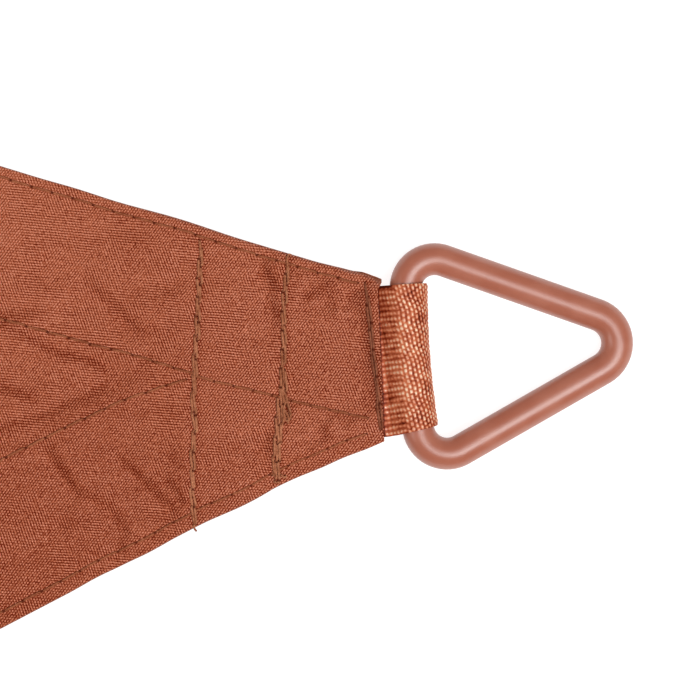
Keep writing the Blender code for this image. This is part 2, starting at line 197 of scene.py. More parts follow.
@dataclass(frozen=True)
class SailPlan:
    """Outline of the sail, and the grid that covers one corner's third of it."""

    side: float = 3.0
    ring_reach: float = 50.2 * MM
    edge_sag: float = 0.1025
    end_left: float = 16.8 * MM
    end_right: float = 13.0 * MM
    left_flare: Pair = (5 * MM, 0.24)
    right_flare: Pair = (24 * MM, 0.105)
    end_back: float = 0.45 * MM       # how far the middle of the end lies behind the corner's origin
    end_slant: float = 0.046
    end_tip: float = 0.9 * MM         # how far the left tip of the end stands out
    end_tip_span: Pair = (14.4 * MM, 16.2 * MM)
    end_reach: float = 8 * MM
    fine_step: float = 0.8 * MM
    fine_rows: int = 100
    coarse_rows: int = 60
    half_columns: int = 42
    rim_columns: int = 4              # columns that keep their distance from the edge in every row
    spread: float = 1.25              # how much wider the columns stand towards the axis
    listed_span: Pair = (0.11, 0.36)    # distances over which the listed columns take over
    # Small waves of the edges near a corner, in mm: side, s, half length, outward.
    waves: tuple[tuple[Side, float, float, float], ...] = (
        (Side.LEFT, -38.0, 13.0, 0.35),
        (Side.LEFT, -7.0, 5.0, 0.20),
        (Side.LEFT, -0.3, 3.4, -0.90),
        (Side.LEFT, 2.4, 3.6, -1.50),
        (Side.LEFT, -58.0, 8.0, 0.15),
        (Side.RIGHT, -29.0, 11.0, 0.60),
        (Side.RIGHT, -50.0, 6.0, 0.20),
        (Side.RIGHT, -61.0, 6.0, -0.20),
        (Side.RIGHT, -9.0, 6.0, -0.25),
    )
    # Columns of the coarse rows, in mm from the edge: dense along the two hem rows.
    edge_columns: tuple[float, ...] = (
        0, 0.25, 0.7, 1.3, 2.0, 2.7, 3.5, 4.6, 9, 16, 22, 26, 27.6, 28.6, 29.5, 30.6, 32, 35,
    )

    @property
    def end_x(self) -> float:
        """Distance from the sail's centre to the cloth's end."""
        return self.side / math.sqrt(3) - self.ring_reach

    def edge_circle(self) -> tuple[np.ndarray, float]:
        """Centre and radius of the hollow edge that leaves corner a on its left.

        Returns:
            The centre in the frame's X and Y, and the radius.
        """
        turn = np.array(Corner.B.turn.to_2x2())
        start = np.array([self.end_x, self.end_left])
        end = turn @ np.array([self.end_x, -self.end_right])
        chord = end - start
        length = float(np.hypot(*chord))
        radius = length**2 / (8 * self.edge_sag) + self.edge_sag / 2
        outward = np.array([chord[1], -chord[0]]) / length
        return (start + end) / 2 + outward * (radius - self.edge_sag), radius

    def centre(self, side: Side) -> np.ndarray:
        """Centre of one of corner a's edges."""
        centre, _ = self.edge_circle()
        return centre if side is Side.LEFT else np.array(Corner.C.turn.to_2x2()) @ centre

    def flare(self, side: Side, s: np.ndarray) -> np.ndarray:
        """How far the edge lies outside its circle near the corner.

        Args:
            side: The edge.
            s: Distances outward from the cloth's end.

        Returns:
            Distances outward from the circle.
        """
        reach, slope = self.left_flare if side is Side.LEFT else self.right_flare
        out = slope * np.maximum(0.0, reach + s)
        for wave_side, middle, half, height in self.waves:
            if wave_side is side:
                out = out + height * MM * trough(abs(s - middle * MM), half * MM)
        return out

    def edge_t(self, side: Side, s: np.ndarray) -> np.ndarray:
        """Distance from the axis to an edge, at each s.

        Args:
            side: The edge.
            s: Distances outward from the cloth's end.

        Returns:
            The distances, positive on either side.
        """
        centre, radius = self.centre(side), self.edge_circle()[1]
        drop = np.sqrt(radius**2 - (self.end_x + s - centre[0]) ** 2)
        return side.value * centre[1] - drop + self.flare(side, s)

    def inside(self, s: np.ndarray, t: np.ndarray) -> np.ndarray:
        """How far points lie inside the nearer edge.

        Args:
            s: Distances outward from the cloth's end.
            t: Distances to the left of the axis.

        Returns:
            The distances, 0 outside the sail.
        """
        radius = self.edge_circle()[1]
        found = []
        for side in Side:
            centre = self.centre(side)
            away = np.hypot(self.end_x + s - centre[0], t - centre[1]) - radius
            found.append(away + self.flare(side, s) * self.edge_slope(side, s))
        return np.maximum(0.0, np.where(t > 0, found[0], found[1]))

    def edge_slope(self, side: Side, s: np.ndarray) -> np.ndarray:
        """Cosine of the angle between an edge and the axis."""
        centre, radius = self.centre(side), self.edge_circle()[1]
        return np.sqrt(1 - np.clip((self.end_x + s - centre[0]) / radius, -1, 1) ** 2)

    def end_s(self, t: np.ndarray) -> np.ndarray:
        """Where the cloth ends, at each t."""
        return self.end_slant * t - self.end_back + self.end_tip * ease(t, *self.end_tip_span)

    def middle_s(self, side: Side) -> float:
        """The s of the middle of an edge."""
        centre, radius = self.centre(side), self.edge_circle()[1]
        return float(centre[0] * (1 - radius / np.hypot(*centre))) - self.end_x

    def row_distances(self) -> np.ndarray:
        """Distances of the rows from the cloth's end: even at first, then growing.

        Returns:
            The distances, from the end to the sail's centre.
        """
        fine = self.fine_step * np.arange(self.fine_rows + 1)
        left = self.end_x - fine[-1]
        low, high = 1.0, 1.5
        for _ in range(60):
            growth = (low + high) / 2
            reach = self.fine_step * (growth**self.coarse_rows - 1) / (growth - 1) * growth
            low, high = (growth, high) if reach < left else (low, growth)
        steps = self.fine_step * low ** np.arange(1, self.coarse_rows + 1)
        return np.concatenate([fine, fine[-1] + np.cumsum(steps) * left / steps.sum()])

    def from_edge(self, half_width: float, distance: float) -> np.ndarray:
        """Distances of one row's columns from the edge, from the axis outward.

        Args:
            half_width: The row's length from the axis to the edge.
            distance: How far it lies from the cloth's end.

        Returns:
            The distances.
        """
        near = np.array(self.edge_columns[:self.rim_columns]) * MM
        count = self.half_columns + 1
        inner = np.linspace(half_width, near[-1], count - len(near) + 1)
        even = np.concatenate([inner, near[-2::-1]])
        listed = np.array(self.edge_columns) * MM
        if half_width < 2 * listed[-1]:
            return even
        rest = np.linspace(1, 0, count - len(listed) + 1)[:-1] ** self.spread
        far = np.concatenate([listed[-1] + (half_width - listed[-1]) * rest, listed[::-1]])
        share = float(ease(distance, *self.listed_span))
        return even * (1 - share) + far * share

    def third(self) -> tuple[np.ndarray, np.ndarray]:
        """The grid's points in corner a's third, as arrays of s and t.

        Returns:
            Two arrays with a row for each distance and a column from right to left.
        """
        rows, columns = self.row_distances(), self.half_columns
        s_grid = np.zeros((len(rows), 2 * columns + 1))
        t_grid = np.zeros_like(s_grid)
        for side in Side:
            middle = self.middle_s(side)
            shrink = 1 + middle / self.end_x
            for row, distance in enumerate(rows):
                reach = distance * (1 - shrink * (distance / self.end_x) ** 2)
                edge_t = side.value * float(self.edge_t(side, np.array(-reach)))
                width = math.hypot(distance - reach, edge_t)
                share = 1 - self.from_edge(width, distance) / width
                place = columns + side.value * np.arange(columns + 1)
                s_grid[row, place] = -distance + (distance - reach) * share
                t_grid[row, place] = edge_t * share
        near = np.maximum(0.0, 1 + s_grid / self.end_reach)
        return s_grid + near * self.end_s(t_grid), t_grid


# ---------------------------------------------------------------- sewing


@dataclass(frozen=True)
class Stitching:
    """How a row is sewn, in metres."""

    pitch: float
    radius: float
    arch: float
    dip: float
    pull: float                       # depth of the trough that the row pulls
    half_width: float                 # half the trough's width
    pucker: float                     # share of the pull that comes and goes with each stitch
    lean: float                       # how far aside a stitch ends from where it starts


OUTER_HEM = Stitching(4.3 * MM, 0.25 * MM, 0.12 * MM, 0.06 * MM, 0.20 * MM, 0.9 * MM, 0.5, 0.10 * MM)
INNER_HEM = Stitching(4.4 * MM, 0.27 * MM, 0.14 * MM, 0.05 * MM, 0.24 * MM, 1.0 * MM, 0.3, 0.15 * MM)
EXTENSION = Stitching(4.1 * MM, 0.27 * MM, 0.14 * MM, 0.05 * MM, 0.20 * MM, 1.0 * MM, 0.4, 0.15 * MM)
CROSS = Stitching(3.8 * MM, 0.29 * MM, 0.22 * MM, 0.06 * MM, 0.34 * MM, 1.4 * MM, 0.35, 0.45 * MM)
THIN = Stitching(5.2 * MM, 0.27 * MM, 0.12 * MM, 0.02 * MM, 0.22 * MM, 1.2 * MM, 0.3, 0.12 * MM)


@dataclass(frozen=True)
class Row:
    """A row of stitches in corner a's third: its path in s and t, and how it is sewn."""

    name: str
    path: np.ndarray
    sewn: Stitching
    lift: float = 0.0                 # how far its thread lies above the cloth

    @property
    def stitches(self) -> int:
        """Number of stitches in the row."""
        return max(1, round(path_length(self.path) / self.sewn.pitch))


@dataclass(frozen=True)
class Strand:
    """One pass of thread along a cross row, in mm and as shares of the row's length."""

    aside: float
    phase: float                      # share of a stitch by which its holes are moved on
    first: float = 0.0
    last: float = 1.0
    drift: float = 0.0                # how much further aside it lies at its end


@dataclass(frozen=True)
class CrossRow:
    """A row across a corner, sewn over more than once, in mm of s and t."""

    name: str
    points: tuple[Pair, ...]
    strands: tuple[Strand, ...]
    sway: float
    sewn: Stitching = CROSS
    sway_length: float = 9.0


CROSS_ROWS = (
    CrossRow(
        "first",
        ((-33.8, 27.8), (-34.7, 21.6), (-35.6, 14.7), (-36.7, 7.5), (-37.6, 1.2), (-38.3, -3.9),
         (-38.6, -9.6), (-39.4, -14.5), (-40.0, -20.0), (-40.5, -29.2)),
        (Strand(-0.27, 0.0), Strand(0.27, 0.45), Strand(0.02, 0.2, 0.44, 0.60)), 0.10),
    CrossRow(
        "second",
        ((-16.8, 23.0), (-17.6, 18.5), (-18.6, 13.0), (-19.1, 7.4), (-19.8, 2.0), (-20.6, -4.0),
         (-21.3, -9.1), (-22.1, -13.5), (-22.9, -19.0), (-23.3, -22.0)),
        (Strand(-0.25, 0.0), Strand(0.27, 0.5), Strand(0.5, 0.3, 0.50, 0.70, 1.3),
         Strand(0.1, 0.15, 0.58, 0.72, 0.7), Strand(-0.7, 0.1, 0.62, 0.97)), 0.08),
    CrossRow(
        "third",
        ((-1.9, 16.4), (-1.85, 11.0), (-1.8, 6.8), (-1.7, -1.2), (-1.55, -7.3), (-1.6, -13.2)),
        (Strand(-0.22, 0.0), Strand(0.24, 0.55)), 0.06, THIN),
)
# Loose threads and the tangle at the second row, in mm of s, t and height above the cloth.
LOOSE_THREADS = (
    ((-40.4, -28.6, 0.3), (-40.6, -29.5, 0.4), (-40.2, -30.2, 0.1)),
    ((-17.2, 22.4, 0.3), (-16.8, 23.3, 0.5), (-16.3, 23.2, 0.2)),
    ((-22.2, -20.4, 0.3), (-21.7, -20.9, 0.5), (-21.2, -20.7, 0.3)),
    ((-20.4, -3.4, 0.2), (-19.8, -5.0, 0.5), (-19.5, -6.8, 0.55), (-19.2, -8.6, 0.5), (-19.9, -9.7, 0.45),
     (-20.7, -9.2, 0.4), (-20.9, -7.6, 0.3)),
    ((-19.9, -5.6, 0.3), (-20.5, -7.2, 0.6), (-20.6, -8.8, 0.7), (-21.0, -10.2, 0.4), (-21.5, -11.6, 0.2)),
    ((-21.0, -6.0, 0.2), (-20.4, -7.6, 0.5), (-19.8, -8.8, 0.5), (-19.9, -10.3, 0.1)),
)


@dataclass(frozen=True)
class Sewing:
    """Plan of every row of stitches in corner a's third."""

    plan: SailPlan
    outer_start: Pair = (-3.4, -4.4)                                  # mm, left and right
    outer_inset: Pair = (2.1, 2.9)
    inner_inset: Pair = (28.8, 30.4)
    inner_left: tuple[Pair, ...] = (                                  # up to where they follow the edge
        (-37.6, 1.2), (-44.4, 4.0), (-52.0, 7.0), (-60.0, 9.9), (-69.6, 13.6), (-77.1, 16.3))
    inner_right: tuple[Pair, ...] = (
        (-39.2, 0.3), (-43.6, -0.6), (-52.3, -2.8), (-60.6, -5.7), (-68.9, -8.9), (-77.6, -12.3))
    extension: tuple[Pair, ...] = (
        (-37.6, 0.9), (-34.0, -0.5), (-27.0, -2.8), (-19.2, -5.6), (-11.0, -8.4), (-3.8, -10.7))
    inner_blend: float = 50 * MM      # length over which the inner rows join the edge's line
    middle_clear: float = 20 * MM     # room without a station next to the middle of an edge
    strand_points: int = 60
    strand_lift: Pair = (0.02, 0.05)    # mm: of a cross row's first strand, and more for each next one
    sway_phase: float = 1.9           # radians by which the strands sway apart

    def stations(self, start: float, side: Side) -> np.ndarray:
        """Values of s from a corner to the middle of an edge, denser near the corner.

        Args:
            start: The first value, in mm.
            side: The edge.

        Returns:
            The values, in metres.
        """
        rows = -self.plan.row_distances()
        middle = self.plan.middle_s(side)
        kept = rows[(rows < start * MM) & (rows > middle + self.middle_clear)]
        return np.concatenate([[start * MM], kept, [middle]])

    def hem_row(self, side: Side, start: float, inset: float) -> np.ndarray:
        """Path that follows an edge at an inset, both in mm.

        Args:
            side: The edge.
            start: The s at which the row starts.
            inset: How far inside the edge it runs.

        Returns:
            Its points in metres of s and t.
        """
        s = self.stations(start, side)
        t = self.plan.edge_t(side, s) - inset * MM / self.plan.edge_slope(side, s)
        return np.column_stack([s, side.value * t])

    def rows(self) -> list[Row]:
        """Every row that pulls the cloth or shows a thread, apart from the cross rows.

        Returns:
            The rows.
        """
        found = []
        for index, side in enumerate(Side):
            outer = self.hem_row(side, self.outer_start[index], self.outer_inset[index])
            found.append(Row(f"outer_{side.name.lower()}", outer, OUTER_HEM))
            near = smooth_path((self.inner_left, self.inner_right)[index])
            far = self.hem_row(side, near[-1, 0] / MM, self.inner_inset[index])
            away = np.exp(-(near[-1, 0] - far[:, :1]) / self.inner_blend)
            inner = np.concatenate([near, (far + away * (near[-1] - far[0]))[1:]])
            found.append(Row(f"inner_{side.name.lower()}", inner, INNER_HEM))
        found.append(Row("extension", smooth_path(self.extension), EXTENSION))
        return found

    def cross_paths(self) -> list[Row]:
        """One path along the middle of each cross row, for the trough that it pulls."""
        return [Row(row.name, smooth_path(row.points), row.sewn) for row in CROSS_ROWS]

    def cross_strands(self) -> list[Row]:
        """The strands of the cross rows, as their threads run.

        Returns:
            A row for each strand.
        """
        found = []
        for row in CROSS_ROWS:
            middle = smooth_path(row.points, 12)
            length = np.concatenate([[0], np.cumsum(np.hypot(*np.diff(middle, axis=0).T))])
            for number, strand in enumerate(row.strands):
                start = strand.first * length[-1] + strand.phase * row.sewn.pitch * (strand.first == 0)
                places = np.linspace(start, strand.last * length[-1], self.strand_points)
                points = np.column_stack([np.interp(places, length, middle[:, axis]) for axis in (0, 1)])
                heading = np.gradient(points, axis=0)
                heading /= np.hypot(*heading.T)[:, None]
                outward = np.column_stack([-heading[:, 1], heading[:, 0]])
                turns = places / (row.sway_length * MM)
                sway = row.sway * np.sin(2 * np.pi * turns + self.sway_phase * number)
                shift = (strand.aside + strand.drift * np.linspace(0, 1, len(places)) ** 1.5 + sway) * MM
                path = points + shift[:, None] * outward
                lift = (self.strand_lift[0] + self.strand_lift[1] * number) * MM
                found.append(Row(f"{row.name}_{number}", path, row.sewn, lift))
        return found


# ---------------------------------------------------------------- the cloth's relief


@dataclass(frozen=True)
class Fold:
    """A main fold, which presses the loose cloth down, in mm."""

    points: tuple[Pair, ...]
    half_width: float
    depth: float


@dataclass(frozen=True)
class Crease:
    """A soft kink in the cloth that turns one steep side away from the key light, in mm."""

    points: tuple[Pair, ...]
    half_width: float
    slope: float
    fade: Pair = (0.3, 0.3)         # shares of its length over which its ends die away
    # Painted shade: the crease's colour is darkened along its middle.
    shade: float = 0.12               # how much darker the cloth is along its middle
    steepness: float = 1.15           # factor on the slope, the same for all creases
    reach: float = 3.0                # half widths over which its height dies away

    def marks(self, s: np.ndarray, t: np.ndarray) -> tuple[np.ndarray, np.ndarray]:
        """Height that the crease adds to the cloth, and the painted shade that darkens the cloth's colour
        along it.

        Args:
            s: Distances outward from the cloth's end.
            t: Distances to the left of the axis.

        Returns:
            The heights in metres, and shares of painted shade.
        """
        path = smooth_path(self.points)
        near = nearest_on_path(s, t, path)
        share = near.along / path_length(path)
        strength = smooth_step(share / self.fade[0]) * smooth_step((1 - share) / self.fade[1])
        width = self.half_width * MM
        heading = path[-1] - path[0]
        toward = 1 if heading[0] * KEY_SIDE[1] > heading[1] * KEY_SIDE[0] else -1
        step = np.tanh(toward * near.aside / width) * np.exp(-near.distance / (self.reach * width))
        core = np.exp(-((near.distance / width) ** 2))
        return self.steepness * self.slope * width * step * strength, core * strength * self.shade


@dataclass(frozen=True)
class Ripple:
    """A low ridge that runs out of a corner into the field."""

    bearing: float
    half_angle: float
    height: float
    start: float
    crest: float
    end: float


FOLDS = (
    Fold(((-170, 34), (-66, 6), (-54.5, 1.5)), 5.0, 0.3),
    Fold(((-190, -40), (-74, -7), (-54, 0)), 5.0, 0.25),
    Fold(((-70, 32), (-52, 18), (-46.5, 8)), 4.5, 0.3),
    Fold(((-69.5, -9), (-66, -23), (-53, -31)), 5.0, 0.4),
    Fold(((-60, -8), (-51, -18), (-43.5, -26)), 5.0, 0.35),
)

CREASES = (
    Crease(((-88.0, 19.5), (-77.1, 15.6), (-71.8, 12.6), (-68.0, 10.0), (-64.8, 8.2), (-61.0, 6.6),
            (-57.6, 5.3), (-55.7, 3.8), (-54.7, 2.0)), 0.85, 0.9, (0.1, 0.08), 0.21),
    Crease(((-53.4, 0.4), (-55.9, -0.2), (-59.0, -1.2), (-61.4, -1.9), (-64.2, -3.0), (-67.7, -4.3),
            (-71.8, -5.0), (-76.0, -5.9), (-84.0, -9.0)), 0.85, 0.65, (0.1, 0.2), 0.15),
    Crease(((-82.0, 3.4), (-76.7, 2.0), (-73.8, 0.7), (-71.0, -0.8), (-67.8, -2.9)),
           1.0, 0.85, (0.1, 0.3), 0.15),
    Crease(((-68.8, -9.8), (-67.6, -11.9), (-66.2, -14.5), (-64.8, -16.8), (-63.6, -19.1), (-61.6, -21.3)),
           0.9, 1.0, (0.2, 0.1), 0.16),
    Crease(((-62.2, -20.8), (-58.9, -22.4), (-56.6, -24.0), (-55.2, -26.3), (-54.0, -28.6), (-53.0, -30.9)),
           0.8, 0.85, (0.1, 0.15), 0.12),
    Crease(((-56.3, -29.6), (-55.1, -31.7), (-53.7, -33.7)), 0.8, 0.7),
    Crease(((-55.6, -12.4), (-53.2, -15.2), (-50.4, -17.9), (-48.3, -20.5), (-46.3, -22.9), (-44.4, -24.9),
            (-43.0, -26.8)), 0.85, 1.0, (0.3, 0.1), 0.16),
    Crease(((-45.9, -18.5), (-44.2, -20.3), (-42.8, -22.4), (-41.6, -25.1)), 0.8, 1.1, (0.2, 0.1), 0.17),
    Crease(((-44.6, -13.0), (-42.8, -15.8), (-41.3, -18.7)), 0.8, 0.5),
    Crease(((-59.0, 24.4), (-56.5, 21.0), (-54.4, 18.4), (-51.8, 15.8), (-49.6, 13.1), (-47.8, 10.8),
            (-46.4, 8.4)), 1.3, 0.7, (0.3, 0.2), 0.12),
    Crease(((-71.0, 25.5), (-67.3, 22.0), (-63.1, 19.6)), 1.6, 0.35, (0.3, 0.3), 0.06),
    Crease(((-84.0, 17.5), (-77.1, 16.6), (-72.7, 16.2), (-68.4, 16.3), (-64.2, 16.1)),
           1.1, 0.75, (0.1, 0.3), 0.14),
    Crease(((-52.2, 33.1), (-48.5, 29.9), (-44.7, 27.2)), 1.8, 0.3, (0.3, 0.3), 0.05),
    Crease(((-43.1, 18.6), (-39.2, 17.0)), 1.5, 0.35, (0.3, 0.3), 0.05),
    Crease(((-50.8, 4.0), (-46.6, 2.0)), 1.5, 0.35, (0.3, 0.3), 0.05),
    Crease(((-22.4, 22.0), (-20.9, 19.6), (-20.1, 17.3), (-19.5, 14.8)), 1.1, 1.0, (0.15, 0.3), 0.24),
    Crease(((-21.0, 17.2), (-20.4, 13.3), (-20.1, 10.1), (-20.2, 5.0)), 1.2, 0.8, (0.3, 0.4), 0.12),
    Crease(((-15.0, 14.2), (-12.5, 15.0), (-10.2, 16.2), (-7.9, 17.2)), 1.0, 0.8, (0.2, 0.2), 0.20),
    Crease(((-8.3, 16.6), (-9.0, 13.5), (-9.8, 9.1)), 1.5, 0.6, (0.2, 0.4), 0.11),
    Crease(((-4.0, 15.8), (-4.8, 13.1), (-5.7, 10.0)), 1.2, 0.6),
    Crease(((-2.4, 16.3), (-2.6, 10.9), (-2.4, 3.9), (-2.1, -3.1), (-1.9, -7.6), (-1.7, -12.5)),
           1.9, 0.9, (0.05, 0.2), 0.10),
    Crease(((-13.6, -10.6), (-12.6, -12.5), (-11.8, -14.6)), 1.1, 0.8, (0.3, 0.3), 0.15),
    Crease(((-8.6, -10.7), (-7.8, -13.1)), 1.1, 0.5, (0.3, 0.3), 0.09),
    Crease(((-23.6, -10.5), (-24.0, -14.3), (-24.7, -17.6)), 1.3, 0.75),
    Crease(((-67.0, -23.8), (-64.2, -27.7)), 1.6, 0.35, (0.3, 0.3), 0.06),
    Crease(((-20.0, -5.0), (-20.7, -10.8)), 1.4, 0.1, (0.2, 0.2), 0.24),
)

RIPPLES = (
    Ripple(9.0, 4.5, 5.0, 90, 330, 900),
    Ripple(-7.5, 4.0, 6.0, 110, 400, 1050),
    Ripple(-19.0, 3.5, 4.0, 140, 420, 980),
)

# Waves of unevenness all over the cloth: wavelength in mm, bearing in degrees, height in mm.
UNEVEN = (
    (31.0, 20.0, 0.07), (23.0, 118.0, 0.05), (14.0, 63.0, 0.03), (11.0, -25.0, 0.02),
    (260.0, 75.0, 0.7), (410.0, -12.0, 0.8), (190.0, 140.0, 0.45),
)


@dataclass(frozen=True)
class ClothRelief:
    """Heights of the cloth's two faces in corner a's third."""

    plan: SailPlan
    sewing: Sewing
    field_thickness: float = 1.0 * MM
    hem_extra: float = 0.6 * MM
    hem: float = 30 * MM
    hem_step: float = 2.2 * MM
    wall: float = 0.7 * MM
    gap: float = 0.3 * MM
    ply: float = 1.0 * MM
    bar_z: float = 4.5 * MM
    lift_reach: float = 26 * MM
    tail_length: float = 37.7 * MM
    pocket: Pair = (15.7 * MM, 15.0 * MM)
    shoulder: float = 5 * MM
    shoulder_left: float = 0.7        # share of the stack's height that is left at its sides
    run_out: float = 18 * MM
    edge_roll: float = 0.7 * MM
    rim_share: float = 0.5            # share of the thickness that is left at the very edge
    pucker_span: Pair = (85 * MM, 115 * MM)     # where the stitches' puckers die away
    kink_rim: float = 1.5 * MM        # creases and unevenness start this far inside the edge
    calm_rim: float = 6 * MM
    calm_share: float = 0.35          # share of the unevenness that is left at the corner
    calm_span: Pair = (0.03, 0.33)
    level_span: Pair = (1.2, 1.5)   # it dies away again towards the sail's centre
    least: float = 0.4 * MM           # how far a crease may thin the cloth over the webbing
    # Painted shade along the cross rows, as a share of darkness.
    row_shade: float = 0.14
    loose_from: Pair = (40 * MM, 54 * MM)
    pillow: float = 1.4 * MM
    pillow_span: tuple[float, float, float, float] = (0.042, 0.056, 0.130, 0.420)
    settle: float = 26 * MM

    @property
    def stack_top(self) -> float:
        """Thickness of the corner over the webbing's ends."""
        return 2 * (self.wall + self.gap + self.ply)

    def tail_middle(self, s: np.ndarray) -> np.ndarray:
        """Height of the middle of the webbing's two plies inside the corner."""
        flat = self.wall + self.gap + self.ply
        return flat + (self.bar_z - flat) * ease(s, -self.lift_reach, 0)

    def folds(self, s: np.ndarray, t: np.ndarray) -> np.ndarray:
        """How far the folds press the loose cloth down.

        Args:
            s: Distances outward from the cloth's end.
            t: Distances to the left of the axis.

        Returns:
            The depths.
        """
        depth = np.zeros_like(s)
        for fold in FOLDS:
            distance = nearest_on_path(s, t, bent_path(fold.points)).distance
            depth = np.maximum(depth, fold.depth * MM * trough(distance, fold.half_width * MM))
        return depth

    def ripples(self, s: np.ndarray, t: np.ndarray) -> np.ndarray:
        """Height of the low ridges that run out into the field.

        Args:
            s: Distances outward from the cloth's end.
            t: Distances to the left of the axis.

        Returns:
            The heights.
        """
        away = np.hypot(s, t) / MM
        bearing = np.degrees(np.arctan2(t, -s))
        height = np.zeros_like(s)
        for ripple in RIPPLES:
            rise = ease(away, ripple.start, ripple.crest)
            fall = 1 - ease(away, ripple.crest, ripple.end)
            across = trough(abs(bearing - ripple.bearing), 2 * ripple.half_angle)
            height = np.maximum(height, ripple.height * MM * rise * fall * across)
        return height

    def underside(self, s: np.ndarray, t: np.ndarray) -> np.ndarray:
        """Height of the cloth's underside above the surface.

        Args:
            s: Distances outward from the cloth's end.
            t: Distances to the left of the axis.

        Returns:
            The heights.
        """
        lift = (self.bar_z - self.stack_top / 2) * ease(s, -self.lift_reach, 0)
        start, full, fade, end = self.pillow_span
        rise = ease(-s, start, full) * (1 - ease(-s, fade, end))
        loose = np.maximum(0.0, self.pillow * rise - self.folds(s, t) * (rise > 0))
        settle = smooth_step(self.plan.inside(s, t) / self.settle)
        return lift + settle * (loose + self.ripples(s, t))

    def seams(self, s: np.ndarray, t: np.ndarray) -> np.ndarray:
        """Depth of the troughs that the rows of stitches pull, deepest at each puncture.

        Args:
            s: Distances outward from the cloth's end.
            t: Distances to the left of the axis.

        Returns:
            The depths.
        """
        depth = np.zeros_like(s)
        for row in [*self.sewing.rows(), *self.sewing.cross_paths()]:
            near = nearest_on_path(s, t, row.path)
            step = path_length(row.path) / row.stitches
            fade = 1 - ease(-s, *self.pucker_span)
            beat = 1 - row.sewn.pucker * fade * (0.5 - 0.5 * np.cos(2 * np.pi * near.along / step))
            depth = np.maximum(depth, row.sewn.pull * trough(near.distance, row.sewn.half_width) * beat)
        return depth

    def shade(self, s: np.ndarray, t: np.ndarray) -> np.ndarray:
        """Painted shade: how much darker the creases and the cross rows make the cloth's colour.

        Args:
            s: Distances outward from the cloth's end.
            t: Distances to the left of the axis.

        Returns:
            Shares of painted shade.
        """
        found = np.zeros_like(s)
        # Painted shade along each cross row and each crease.
        for row in self.sewing.cross_paths():
            distance = nearest_on_path(s, t, row.path).distance
            found = np.maximum(found, self.row_shade * trough(distance, row.sewn.half_width))
        for crease in CREASES:
            found = np.maximum(found, crease.marks(s, t)[1])
        return found

    def thickness(self, s: np.ndarray, t: np.ndarray) -> np.ndarray:
        """Thickness of the cloth: one layer in the field, more in hems and corners.

        Args:
            s: Distances outward from the cloth's end.
            t: Distances to the left of the axis.

        Returns:
            The thicknesses.
        """
        inside = self.plan.inside(s, t)
        hem = 1 - ease(inside, self.hem, self.hem + self.hem_step)
        body = self.field_thickness + self.hem_extra * hem
        back = -self.tail_length - self.gap
        along = ease(s, back - self.run_out, back)
        half = np.where(t > 0, self.pocket[0], self.pocket[1])
        stack = along * (1 - (1 - self.shoulder_left) * smooth_step((abs(t) - half) / self.shoulder))
        body = body + (self.stack_top - body) * stack
        roll = np.sqrt(np.clip(1 - (1 - inside / self.edge_roll) ** 2, 0, 1))
        roll = np.where(inside < self.edge_roll, roll, 1.0)
        return body * (self.rim_share + (1 - self.rim_share) * roll)

    def uneven(self, s: np.ndarray, t: np.ndarray) -> np.ndarray:
        """Slight unevenness of cloth that lies loose.

        Args:
            s: Distances outward from the cloth's end.
            t: Distances to the left of the axis.

        Returns:
            The heights, above and below 0.
        """
        height = np.zeros_like(s)
        for length, bearing, wave in UNEVEN:
            angle = math.radians(bearing)
            phase = (s * math.cos(angle) + t * math.sin(angle)) / (length * MM)
            height += wave * MM * np.cos(2 * np.pi * phase + bearing)
        rim = smooth_step(self.plan.inside(s, t) / self.calm_rim)
        calm = self.calm_share + (1 - self.calm_share) * ease(-s, *self.calm_span)
        return height * rim * calm * (1 - ease(-s, *self.level_span))

    def faces(self, s: np.ndarray, t: np.ndarray) -> tuple[np.ndarray, np.ndarray]:
        """Heights of the underside and of the top.

        Args:
            s: Distances outward from the cloth's end.
            t: Distances to the left of the axis.

        Returns:
            Two arrays of heights above the surface.
        """
        under = self.underside(s, t)
        kinks = sum(crease.marks(s, t)[0] for crease in CREASES)
        kinks = kinks * smooth_step(self.plan.inside(s, t) / self.kink_rim)
        moved = np.maximum(under + kinks * ease(-s, *self.loose_from), 0.0)
        rest = np.maximum(self.uneven(s, t) + kinks - (moved - under), -self.least)
        return moved, moved + self.thickness(s, t) + rest - self.seams(s, t)


class ClothTop:
    """The cloth's top face as it is meshed, for laying threads on it."""

    def __init__(self, plan: SailPlan, relief: ClothRelief) -> None:
        """Mesh corner a's third.

        Args:
            plan: The sail's plan.
            relief: Its heights.
        """
        self.relief = relief
        s, t = plan.third()
        points = np.column_stack([s.ravel(), t.ravel(), relief.faces(s, t)[1].ravel()])
        self.tree = BVHTree.FromPolygons(points.tolist(), grid_faces(*s.shape).tolist())

    def at(self, path: np.ndarray) -> np.ndarray:
        """Height of the top face along a path, in s and t.

        Args:
            path: Points in s and t.

        Returns:
            A height for each point.
        """
        meant = self.relief.faces(path[:, 0], path[:, 1])[1]
        found = []
        for (s, t), height in zip(path, meant):
            hit = self.tree.ray_cast(Vector((s, t, 1.0)), Vector((0, 0, -1)))[0]
            found.append(height if hit is None else hit.z)
        return np.array(found)


# ---------------------------------------------------------------- meshes


def placed(name: str, data: bpy.types.ID) -> bpy.types.Object:
    """Put an object into the scene.

    Args:
        name: The object's name.
        data: Its mesh, curve, light or camera.

    Returns:
        The object.
    """
    made = bpy.data.objects.new(name, data)
    bpy.context.scene.collection.objects.link(made)
    return made


def finished(name: str, mesh: bpy.types.Mesh, material: bpy.types.Material,
             replaces: Sequence[str] = ()) -> bpy.types.Object:
    """Make a piece of a mesh that is already in its place.

    Args:
        name: The piece's name.
        mesh: Its mesh, in the frame.
        material: Its material.
        replaces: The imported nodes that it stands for.

    Returns:
        The piece.
    """
    mesh.name = name
    mesh.materials.clear()
    mesh.materials.append(material)
    piece = placed(name, mesh)
    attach(piece, BODY)
    if replaces:
        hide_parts(*replaces)
    log.info("%s: %d faces", name, len(mesh.polygons))
    return piece


